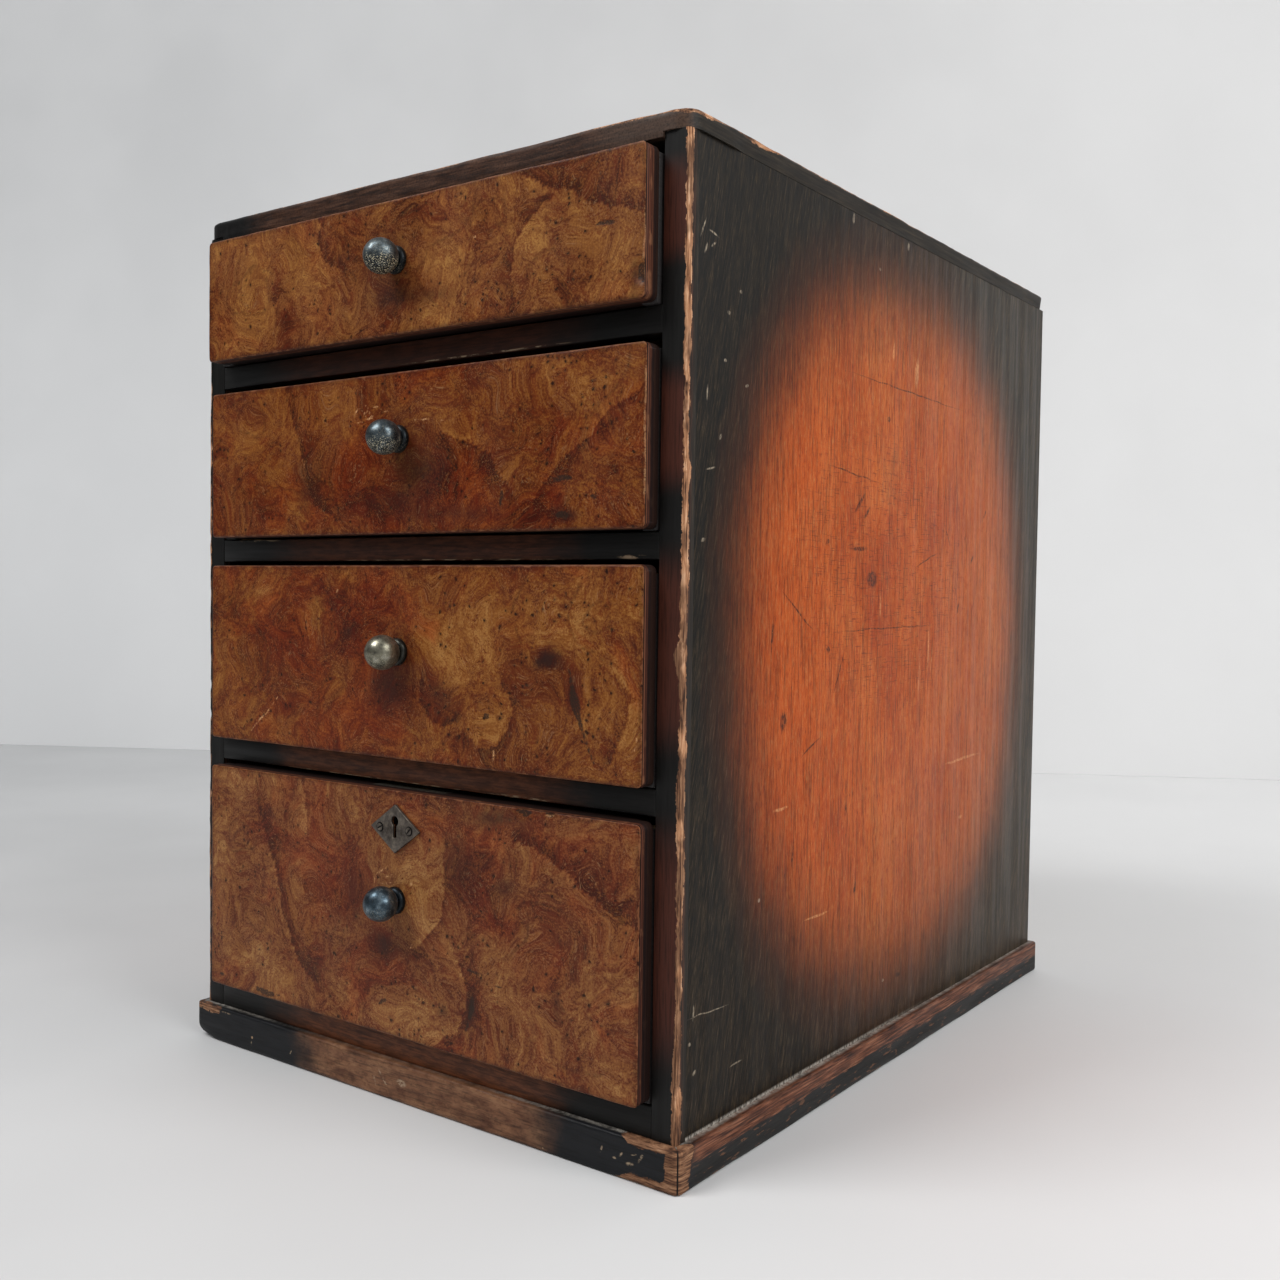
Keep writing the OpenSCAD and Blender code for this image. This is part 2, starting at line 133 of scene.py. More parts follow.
def rolledArris(depth, drop, radius):   # how far each point moves in from two faces that meet at an arris
    a, b = np.maximum(radius - depth, 0), np.maximum(radius - drop, 0)
    reach = np.hypot(a, b)
    share = np.where((a > 0) & (b > 0) & (reach > radius), 1 - radius / np.maximum(reach, 1e-9), 0)
    return a * share, b * share


def bumpsAlong(place, bumps):   # soft bumps on a line: (middle, half length, height)
    return sum(height * np.exp(-((place - middle) / half) ** 2) for middle, half, height in bumps)


def worn(points, size, seed, least, most):      # an uneven wear value between least and most
    return np.clip((smoothNoise(points, size, seed) + 1) / 2, 0, 1) * (most - least) + least


def meshFrom(name, points=(), faces=()):
    mesh = bpy.data.meshes.new(name)
    mesh.from_pydata((np.array(points) * mm).tolist(), [], [list(map(int, face)) for face in faces])
    mesh.update()
    piece = bpy.data.objects.new(name, mesh)
    bpy.context.scene.collection.objects.link(piece)
    return piece


def pointsOf(piece):
    flat = np.empty(len(piece.data.vertices) * 3)
    piece.data.vertices.foreach_get("co", flat)
    return flat.reshape(-1, 3) / mm


def movePoints(piece, points):
    piece.data.vertices.foreach_set("co", (points * mm).ravel())
    piece.data.update()


def paint(piece, **layers):     # one value a point, which the materials read by name
    for name, values in layers.items():
        layer = piece.data.attributes.new(name, "FLOAT", "POINT")
        layer.data.foreach_set("value", np.asarray(values, np.float32))


def applied(piece):     # the piece with its modifiers turned into a plain mesh
    shown = piece.evaluated_get(bpy.context.evaluated_depsgraph_get())
    mesh = bpy.data.meshes.new_from_object(shown)
    piece.modifiers.clear()
    piece.data = mesh
    return piece


def joinBy(piece, other, operation):    # cuts or unites two closed shells
    modifier = piece.modifiers.new("join", "BOOLEAN")
    modifier.object, modifier.operation, modifier.solver = other, operation, "EXACT"
    applied(piece)
    bpy.data.objects.remove(other)


def dress(piece, material, *stoodFor, smooth=35):   # material, shading, body, and the nodes it is for
    piece.data.materials.clear()
    piece.data.materials.append(material)
    piece.data.shade_smooth()
    piece.data.set_sharp_from_angle(angle=math.radians(smooth))
    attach(piece, nodes[stoodFor[0]]["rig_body"])
    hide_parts(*stoodFor)
    return piece


def easedCopy(node, width, material):   # a board or fitting with its sharp edges taken off
    form = bmesh.new()
    form.from_mesh(nodes[node].data)
    bmesh.ops.remove_doubles(form, verts=form.verts, dist=0.00001)
    bmesh.ops.dissolve_limit(form, angle_limit=math.radians(1), verts=form.verts, edges=form.edges)
    piece = meshFrom(node + ".eased")
    form.to_mesh(piece.data)
    form.free()
    bevel = piece.modifiers.new("eased edges", "BEVEL")
    bevel.width, bevel.segments = width * mm, 2
    bevel.limit_method, bevel.angle_limit = "ANGLE", math.radians(35)
    return dress(applied(piece), material, node)


def linearColour(hexText):
    parts = [int(hexText[i:i + 2], 16) / 255 for i in (1, 3, 5)]
    return [c / 12.92 if c <= 0.04045 else ((c + 0.055) / 1.055) ** 2.4 for c in parts] + [1]


def addNode(tree, kind, inputs=None, stops=None, **settings):
    node = tree.nodes.new(kind if "Node" in kind else "ShaderNode" + kind)
    for key, value in settings.items():
        setattr(node, key, value)
    if stops:
        elements = node.color_ramp.elements
        elements[0].position, elements[1].position = stops[0][0], stops[-1][0]
        for position, colour in stops[1:-1]:
            elements.new(position)
        for element, (position, colour) in zip(elements, stops):
            element.color = linearColour(colour)
    for key, value in (inputs or {}).items():
        socket = (node.inputs[key] if isinstance(key, int)
                  else next(s for s in node.inputs if s.name == key and s.enabled))
        for source in value if isinstance(value, list) else [value]:
            if isinstance(source, bpy.types.Node):
                source = Tap(source)
            if isinstance(source, Tap):
                tree.links.new(source.socket, socket)
            else:
                socket.default_value = linearColour(source) if isinstance(source, str) else source
    return node


class Tap:      # one output of a node; sums and products of taps are Math nodes
    def __init__(self, source, output=None):
        if isinstance(source, bpy.types.Node):
            source = next(s for s in source.outputs if (s.name == output if output else s.enabled))
        self.socket, self.tree = source, source.id_data

    def maths(self, operation, *values):
        return Tap(addNode(self.tree, "Math", dict(enumerate(values)), operation=operation))

    def __add__(self, other):
        return self.maths("ADD", self, other)

    def __mul__(self, other):
        return self.maths("MULTIPLY", self, other)

    def __sub__(self, other):
        return self.maths("SUBTRACT", self, other)

    def __rsub__(self, other):
        return self.maths("SUBTRACT", other, self)

    def __truediv__(self, other):
        return self.maths("DIVIDE", self, other)

    def __pow__(self, other):
        return self.maths("POWER", self, other)

    def __abs__(self):
        return self.maths("ABSOLUTE", self)

    def below(self, limit):     # 1 where it is less, else 0
        return self.maths("LESS_THAN", self, limit)


def vectors(operation, *values, **named):
    node = addNode(values[0].tree, "VectorMath", {**dict(enumerate(values)), **named}, operation=operation)
    return Tap(node, "Value" if operation in ("DOT_PRODUCT", "LENGTH") else "Vector")


def split(vector):
    return [Tap(part) for part in addNode(vector.tree, "SeparateXYZ", {"Vector": vector}).outputs]


def joined(x, y, z=0.0):
    return Tap(addNode(x.tree, "CombineXYZ", {"X": x, "Y": y, "Z": z}))


def fade(value, start, end, low=0.0, high=1.0):     # a soft step from low at start to high at end
    inputs = {"Value": value, "From Min": start, "From Max": end, "To Min": low, "To Max": high}
    return Tap(addNode(value.tree, "MapRange", inputs, interpolation_type="SMOOTHSTEP"))


def blend(factor, a, b, kind="MIX"):
    inputs = {"Factor": factor, "A": a, "B": b}
    return Tap(addNode(factor.tree, "Mix", inputs, data_type="RGBA", blend_type=kind))


def layered(colour, *coats):    # coats are (factor, colour), each over the one before
    for factor, coat in coats:
        colour = blend(factor, colour, coat)
    return colour


def ramp(value, *stops):
    return Tap(addNode(value.tree, "ValToRGB", {"Fac": value}, stops))


def flatNoise(vector, size, detail, rough=0.5, output="Fac", dimensions="2D"):
    inputs = {"Vector": vector, "Scale": 1 / size, "Detail": detail, "Roughness": rough}
    return Tap(addNode(vector.tree, "TexNoise", inputs, noise_dimensions=dimensions), output)


def pushed(vector, size, reach, dimensions="2D"):   # bends the pattern by up to half of reach
    push = vectors("SUBTRACT", flatNoise(vector, size, 2, 0.5, "Color", dimensions), (0.5, 0.5, 0.5))
    return vectors("MULTIPLY_ADD", push, (reach, reach, reach), vector)


def cells(vector, size, **settings):    # the nearest seed, the mm to it and two random numbers of that seed
    node = addNode(vector.tree, "TexVoronoi", {"Vector": vector, "Scale": 1 / size}, **settings)
    pick = addNode(vector.tree, "SeparateColor", {"Color": Tap(node, "Color")})
    return Tap(node, "Position"), Tap(node, "Distance") * size, Tap(pick, "Red"), Tap(pick, "Green")


class Look:     # a material in the making; place, x, y and z are the point on the piece in millimetres
    def __init__(self, name):
        self.material = bpy.data.materials.new(name)
        self.material.use_nodes = True
        self.tree = self.material.node_tree
        self.tree.nodes.clear()
        self.coords = addNode(self.tree, "TexCoord")
        self.place = vectors("SCALE", Tap(self.coords, "Object"), Scale=1 / mm)
        self.x, self.y, self.z = split(self.place)

    def facing(self):       # 1 on faces that look backwards, -1 on those that look forwards
        return split(Tap(self.coords, "Normal"))[1]

    def layer(self, name):
        return Tap(addNode(self.tree, "Attribute", attribute_name=name), "Fac")

    def noise(self, size, detail=3, rough=0.55, place=None):    # size of its lumps, or along X, Y and Z
        size = tuple(size) if hasattr(size, "__len__") else (size, size, size)
        scaled = vectors("DIVIDE", place or self.place, size)
        return Tap(addNode(self.tree, "TexNoise", {"Vector": scaled, "Scale": 1, "Detail": detail,
                                                   "Roughness": rough}))

    def marks(self, plane, spots, place=None):  # soft spots: (across, up, half length, half width, degrees)
        total = None
        for across, up, long, wide, turn in spots:
            if plane == "xz":
                where, angle, size = (across, 0, up), (0, -math.radians(turn), 0), (long, 500, wide)
            else:
                where, angle, size = (0, across, up), (math.radians(turn), 0, 0), (500, long, wide)
            spot = addNode(self.tree, "Mapping", {"Vector": place or self.place, "Location": where,
                                                  "Rotation": angle, "Scale": size}, vector_type="TEXTURE")
            spot = Tap(addNode(self.tree, "TexGradient", {"Vector": spot}, gradient_type="SPHERICAL"), "Fac")
            total = total.maths("MAXIMUM", total, spot) if total else spot
        return total

    def finish(self, colour, roughness, height, relief, **shaderInputs):    # relief: mm, lowest to highest
        bump = addNode(self.tree, "Bump", {"Height": height, "Distance": relief * mm, "Strength": 1.0})
        named = {key.replace("_", " "): value for key, value in shaderInputs.items()}
        shader = addNode(self.tree, "BsdfPrincipled",
                         {"Base Color": colour, "Roughness": roughness, "Normal": bump, **named})
        addNode(self.tree, "OutputMaterial", {"Surface": shader})
        return self.material


def makeStage():
    # here places and sizes are in metres, angles in radians and the lamps' power in watts
    values = {
        "eye": (0.3986, -0.3842, 0.2146), "pan": 0.63146, "nod": -0.03588, "roll": -0.01347, "lens": 36.97,
        "wallFrom": (-1.304, 0.542), "wallTo": (0.053, 1.318),  # two points on the line of wall and floor
        "floorReach": 4.0, "floorLevel": -0.0002, "wallHeight": 3.2, "wallReach": 5.0,
        # tones at the left and right of the view, each low down and high up; painted light: the floor lighter
        # towards the window on the right, the wall darker higher up
        "floor": (("#b6b7b8", "#b6b7b8"), ("#e2e2e2", "#e2e2e2")),
        "wall": (("#d6d7d8", "#b3b4b5"), ("#dedede", "#d1d1d1")),
        "bright": (0.85, 0.25, 0.45),       # the way to the brightest part of the room
        "world": ("#3e3f41", "#e2e2e2"), "worldStrength": 0.78,
        "aim": (0, 0.15, 0.18),
        "lamps": {"windowLeft": {"at": (-0.75, -1.15, 1.9), "size": 1.1, "power": 31},
                  "windowRight": {"at": (1.8, 0.0, 1.5), "size": 1.4, "power": 29}},
    }
    scene = bpy.context.scene
    scene.view_settings.view_transform = "Standard"
    cameraData = bpy.data.cameras.new("camera")
    cameraData.lens, cameraData.sensor_width, cameraData.sensor_fit = values["lens"], 36, "HORIZONTAL"
    cameraData.clip_start = 0.01
    camera = bpy.data.objects.new("camera", cameraData)
    scene.collection.objects.link(camera)
    camera.matrix_world = (Matrix.Translation(values["eye"]) @ Matrix.Rotation(values["pan"], 4, "Z")
                           @ Matrix.Rotation(values["nod"], 4, "X") @ Matrix.Rotation(values["roll"], 4, "Y")
                           @ Matrix.Rotation(math.pi / 2, 4, "X"))
    scene.camera = camera

    reach, level, top = values["floorReach"], values["floorLevel"], values["wallHeight"]
    corners = [(reach * x, reach * y, level) for x, y in ((-1, -1), (1, -1), (1, 1), (-1, 1))]
    floor = meshFrom("floor", np.array(corners) / mm, [(0, 1, 2, 3)])
    start, end = np.array(values["wallFrom"]), np.array(values["wallTo"])
    along = (end - start) / np.linalg.norm(end - start)
    left, right = (start + along * side * values["wallReach"] for side in (-1, 1))
    wall = meshFrom("wall", np.array([(*left, 0), (*right, 0), (*right, top), (*left, top)]) / mm,
                    [(0, 3, 2, 1)])
    for part in (floor, wall):
        # painted plaster and screed: matt, very slightly uneven in tone; painted light makes them lighter
        # towards the window and the wall darker higher up
        look = Look(part.name + "Paint")
        cloud = look.noise(260)
        across = vectors("DOT_PRODUCT", look.place, (*along, 0))
        tones = [blend(fade(look.z, 150, 1000), low, high) for low, high in values[part.name]]
        tone = blend(fade(across, -900, 900), *tones)
        tone = blend(fade(cloud, 0.3, 0.7, 0.0, 0.08), tone, "#ffffff")
        part.data.materials.append(look.finish(tone, 0.6, cloud, 0.2, Specular_IOR_Level=0.3))

    world = bpy.data.worlds.new("studio")
    scene.world = world
    world.use_nodes = True
    tree = world.node_tree
    tree.nodes.clear()
    towards = vectors("DOT_PRODUCT", Tap(addNode(tree, "TexCoord"), "Generated"), values["bright"])
    sky = blend(fade(towards, -0.75, 0.75), *values["world"])
    background = addNode(tree, "Background", {"Color": sky, "Strength": values["worldStrength"]})
    addNode(tree, "OutputWorld", {"Surface": background})

    for name, lamp in values["lamps"].items():
        light = bpy.data.lights.new(name, "AREA")
        light.size, light.energy = lamp["size"], lamp["power"]
        holder = bpy.data.objects.new(name, light)
        scene.collection.objects.link(holder)
        at = Vector(lamp["at"])
        turn = (at - Vector(values["aim"])).to_track_quat("Z", "Y").to_matrix().to_4x4()
        holder.matrix_world = Matrix.Translation(at) @ turn


makeStage()
print("stage ready")


def roughWood(name, tones, grain, relief=0.12, shadedFront=False):
    # Pine or basswood, planed and left bare: matt, with long fibres and slightly darker late wood.
    # tones are dark, middle and light; grain is the size of a fibre bundle along X, Y and Z. With
    # shadedFront, the first few mm behind the drawer's front are painted near black as painted shade in the
    # gap there.
    look = Look(name)
    wide, fine = look.noise([9 * g for g in grain], 2), look.noise(grain, 4, 0.65)
    height = fine * 0.45 + wide * 0.55
    colour = ramp(height, *zip((0.36, 0.5, 0.64), tones))
    if shadedFront:
        # painted shade: near black for the first few mm behind the drawer's front
        colour = blend(fade(wide * 5 + look.y, 8, 6), colour, "#120b0a")
    return look.finish(colour, fade(fine, 0.3, 0.7, 0.62, 0.82), height, relief)


def bareTone(look, grain):
    # wood laid bare by wear: pale tan fibres with dark cracks, browner low down where it was handled more
    fibre = look.noise(grain, 5, 0.72)
    lower = fade(look.z, 235, 190, 0.0, 0.10) + fade(look.z, 30, 16, 0.0, 0.15)
    patch = look.noise((8, 8, 17), 3, 0.6) + lower
    pale = ramp(fibre, (0.37, "#4e2e1e"), (0.45, "#976848"), (0.55, "#bd8c68"), (0.66, "#dcb696"))
    greased = ramp(fibre, (0.37, "#281912"), (0.46, "#583a29"), (0.57, "#866046"), (0.70, "#ac8768"))
    return blend(fade(patch, 0.47, 0.60), pale, greased)


def rubbedOff(look):
    # 1 where the lacquer is gone: the painted margin in mm, made ragged by fibres and small chips
    loose = look.noise(0.9, 3, 0.6) * 1.6 + look.noise(3.2, 2) * 1.8 - 1.7
    return fade(look.layer("bare") + loose, -0.12, 0.12)


def specks(look, size, share, radius):  # small round chips in a share of the cells of this size
    _, away, pick, spread = cells(look.place, size)
    reach = (look.noise(0.5, 2) + spread * 0.7 + 0.5) * (0.8 * radius)
    return pick.below(share) * fade(away - reach, 0.15 * radius, 0.0)


def lacquer(name, tintOf, grain, rubbed=True, speckShare=0.02):
    # Old tinted lacquer on close-grained wood: satin, its brush-thin film shows the grain below and
    # wears through to tan wood at the arrises. tintOf gives the colour at each point.
    look = Look(name)
    fibre = look.noise(grain, 4, 0.68)
    ridge = look.noise([g * 1.8 if g < 5 else 110 for g in grain], 1)
    colour = layered(tintOf(look), (fade(fibre, 0.34, 0.56, 0.5, 0.0), "#040302"),
                     (specks(look, 11, speckShare, 0.5) * 0.8, "#b59474"))
    gloss = fade(look.noise([5 * g for g in grain]), 0.3, 0.7, 0.40, 0.56)
    height = ridge * 0.8 + fibre
    if rubbed:
        bare = rubbedOff(look)
        colour = blend(bare, colour, bareTone(look, [0.8 * g for g in grain]))
        gloss = gloss + bare * (0.75 - gloss)
        height = height - bare * 0.9
    return look.finish(colour, gloss, height, 0.05, Specular_IOR_Level=0.2)


def railTint(look):
    # black towards the stiles, dark red-brown in the middle, painted darker on the higher rails as painted
    # shade from the drawers above, scuffed along the lower edges; bare wood behind the front edge
    # painted shade: the brown darkens upwards, standing in for the drawers' shade on the higher rails
    brown = blend(fade(look.z, 320, 20), "#3c1f13", "#6e3f26")
    brown = blend(fade(look.noise((9, 3, 2), 4, 0.65), 0.4, 0.6, 0.5, 0.0), brown, "#1c0e09")
    tint = blend(fade(abs(look.x) + look.noise(28) * 30, 76, 112), brown, "#141312")
    scuffs = look.marks("xz", [(114, 227.6, 9, 1.1, 0), (20, 226.8, 95, 0.55, 0), (-20, 134, 90, 0.6, 0),
                               (60, 134.2, 22, 0.9, 0), (40, 308, 60, 0.5, 0), (-100, 236, 20, 0.7, 0)])
    patchy = fade(look.noise((6, 1.2, 1.2), 3, 0.65), 0.46, 0.58)
    return layered(tint, (fade(scuffs, 0.1, 0.6, 0.0, 0.8) * patchy, "#a58d72"),
                   (fade(look.y, 9, 14), bareTone(look, (14, 0.9, 0.9))))


def streakedBlack(streak):
    return ramp(streak, (0.36, "#171410"), (0.55, "#28221b"), (0.7, "#3e3428"))


def stileTint(look):
    # black beside each rail and dark red-brown between them; the side face is black
    between = ((350, 24), (273, 28), (194, 46), (88, 56))       # middle and half height, mm
    brown = look.marks("xz", [(130, z, 60, half, 0) for z, half in between])
    front = blend(fade(brown, 0.1, 0.6), "#131211", "#47241a")
    streak = look.noise((0.8, 0.8, 18), 4, 0.68)
    rim = fade(look.y, 5.2, 2.2, 0.0, 0.55) * fade(streak, 0.4, 0.6)
    return blend(fade(look.y, 0.2, 1.2), front, blend(rim, streakedBlack(streak), "#5a3020"))


def plinthTint(look):
    # black at both ends of the front board, brown between; the sides' upper half is rubbed to streaks of
    # red-brown; grey dust lies on the ledge beside the case
    mitre = boxOf("plinth_right")[1][0] + boxOf("plinth_front")[0][1]   # x + y along the right front joint
    fine = look.noise((2.4, 2.4, 1.6), 4, 0.65)
    brown = ramp(look.noise((9, 9, 4), 4), (0.3, "#563524"), (0.5, "#755039"), (0.7, "#8c6549"))
    scratches = look.marks("xz", [(-11, 8, 6, 0.7, -50), (0, 8.5, 4, 2.2, 0), (119, 6.5, 2.4, 1.0, 10),
                                  (115, 9, 1.6, 0.6, 50), (121, 10.5, 2, 0.5, 20), (112, 7, 1.2, 0.6, 0),
                                  (-118, 14.4, 5, 0.6, 0), (-71, 6, 1.6, 0.5, 60), (106, 9, 2.4, 0.6, 70),
                                  (-16, 6, 3, 0.6, -70), (124, 10, 3, 0.8, 60), (-99, 4, 1.6, 0.5, 80)])
    front = layered(brown, (fade(fine, 0.5, 0.36, 0.0, 0.35), "#3a1e10"),
                    (fade(look.noise(16, 4, 0.6) * 26 + abs(look.x - 8), 66, 92), "#16171a"),
                    (fade(scratches, 0.1, 0.6) * fade(fine, 0.42, 0.58, 0.0, 0.7), "#b09a80"))
    streak = look.noise((3, 20, 0.8), 5, 0.68)
    red = ramp(streak, (0.34, "#1e100a"), (0.45, "#4e2a1b"), (0.56, "#744630"), (0.7, "#9c6c52"))
    high = streak * 9 + look.z
    low = fade(look.noise((4, 9, 1.6), 4, 0.65), 0.58, 0.64, 0.0, 0.8) * fade(look.z, 11, 9)
    side = layered(blend(fade(high, 13.0, 14.6), "#1b1a19", red), (low, "#6b4934"),
                   (fade(high, 20.6, 21.6, 0.0, 0.75), "#1d1411"))
    loose = fade(look.noise(2.2, 4, 0.7), 0.36, 0.6, 0.25, 1.0)
    return layered(front, (fade(look.y, 2, 10), side),
                   (fade(abs(look.x + look.y - mitre), 0.5, 0.2), "#0b0806"),
                   (look.layer("dust") * loose, "#b5aea4"))


def sunburst(look, axes, centre, half, grain):
    # 0 inside a soft oval, 1 outside: the dark spray round a light middle, with the grain showing in its edge
    power, tightness = 2.35, 0.75      # the ramp ends at 1, so the radius is scaled down to fit in it
    across, up = (abs((axis - middle) / reach) ** power for axis, middle, reach in zip(axes, centre, half))
    radius = (across + up) ** (1 / power) + look.noise(40) * 0.10 + look.noise(grain, 4, 0.68) * 0.10 - 0.10
    return ramp(radius * tightness, (0.56, "#000000"), (0.64, "#8c8c8c"), (0.69, "#c4c4c4"),
                (0.73, "#e4e4e4"), (0.78, "#f7f7f7"), (0.85, "#ffffff"))


def topTint(look):
    # front edge dark red-brown with a black left end; the top itself black round a sunburst like the sides'
    right = look.noise(30) * 24 + look.x
    brown = ramp(look.noise((14, 4, 1.1), 4, 0.7), (0.36, "#28170f"), (0.52, "#432a1d"), (0.68, "#614434"))
    burst = sunburst(look, (look.x, look.y), (0, 180), (92, 132), (0.9, 22, 0.9))
    top = blend(burst, "#a5501f", streakedBlack(look.noise((0.8, 18, 0.8), 4, 0.68)))
    return layered(brown, (fade(right, -78, -100), "#100f0f"), (fade(right, 96, 122, 0.0, 0.6), "#54443a"),
                   (fade(look.y, 0.5, 4), top))


def sideTint(dark, pale, white):
    # orange-brown inside the sunburst, with red pores, hatching from hard use and dents; black round it, both
    # with painted sheen towards the back
    def tint(look):
        y, z = look.y, look.z
        stipple = look.noise((0.6, 0.8, 3.5), 5, 0.74)
        hatch = fade(look.noise((3, 7, 0.5), 3, 0.6), 0.565, 0.65, 0.0, 0.6)
        handled = fade(look.marks("yz", [(165, 225, 125, 95, -10)]), 0.1, 0.5)
        orange = ramp(look.noise((45, 45, 70)), (0.32, "#9a3c0c"), (0.46, "#a84a12"), (0.58, "#b4561e"),
                      (0.72, "#b8622a"))
        # painted sheen: along y the orange turns greyer towards the back and purer at the front
        orange = layered(orange, (fade(abs(z - 200), 60, 170, 0.0, 0.7), "#985022"),
                         (fade(y, 200, 340, 0.0, 0.6), "#a4582c"), (fade(y, 150, 50, 0.0, 0.5), "#b24c10"),
                         (fade(stipple, 0.49, 0.36, 0.0, 0.75), "#8a2c02"),
                         (fade(stipple, 0.51, 0.66, 0.0, 0.65), "#b47444"), (hatch * handled, "#5c2310"),
                         (fade(look.noise((2, 1.1, 4.5), 2, 0.5), 0.66, 0.72, 0.0, 0.7), "#6a2a10"))
        lean = {"Vector": look.place, "Rotation": (math.radians(14), 0, 0)}
        streak = look.noise((0.6, 0.6, 9), 5, 0.78, Tap(addNode(look.tree, "Mapping", lean)))
        # painted sheen: light lifts the black towards the back and low down, as gloss reflecting the pale
        # wall and floor would
        light = fade(y, 40, 330, -0.03, 0.05) + fade(z, 300, 40, 0.0, 0.03)
        black = ramp(streak + light, (0.40, "#050403"), (0.50, "#1a140b"), (0.58, "#33281a"),
                     (0.70, "#5c4b38"))
        colour = blend(sunburst(look, (y, z), (181, 196), (150, 165), (0.9, 0.9, 22)), orange, black)
        shaky = pushed(look.place, 12, 2, "3D")
        broken = fade(look.noise((1.1, 1.1, 2.2), 3, 0.65), 0.40, 0.56, 0.25, 1.0)
        for spots, shade, strength in ((dark, "#2c150d", 0.85), (pale, "#d0905e", 0.8),
                                       (white, "#b4a48e", 0.6)):
            spots = [(*at, 1.1 * length, 1.1 * width, turn) for *at, length, width, turn in spots]
            shown = fade(look.marks("yz", spots, shaky), 0.05, 0.5, 0.0, strength)
            colour = blend(shown * broken, colour, shade)
        return blend(fade(z, 17.8, 16.6) * fade(y, 230, 120) * broken, colour, "#b5aea4")
    return tint


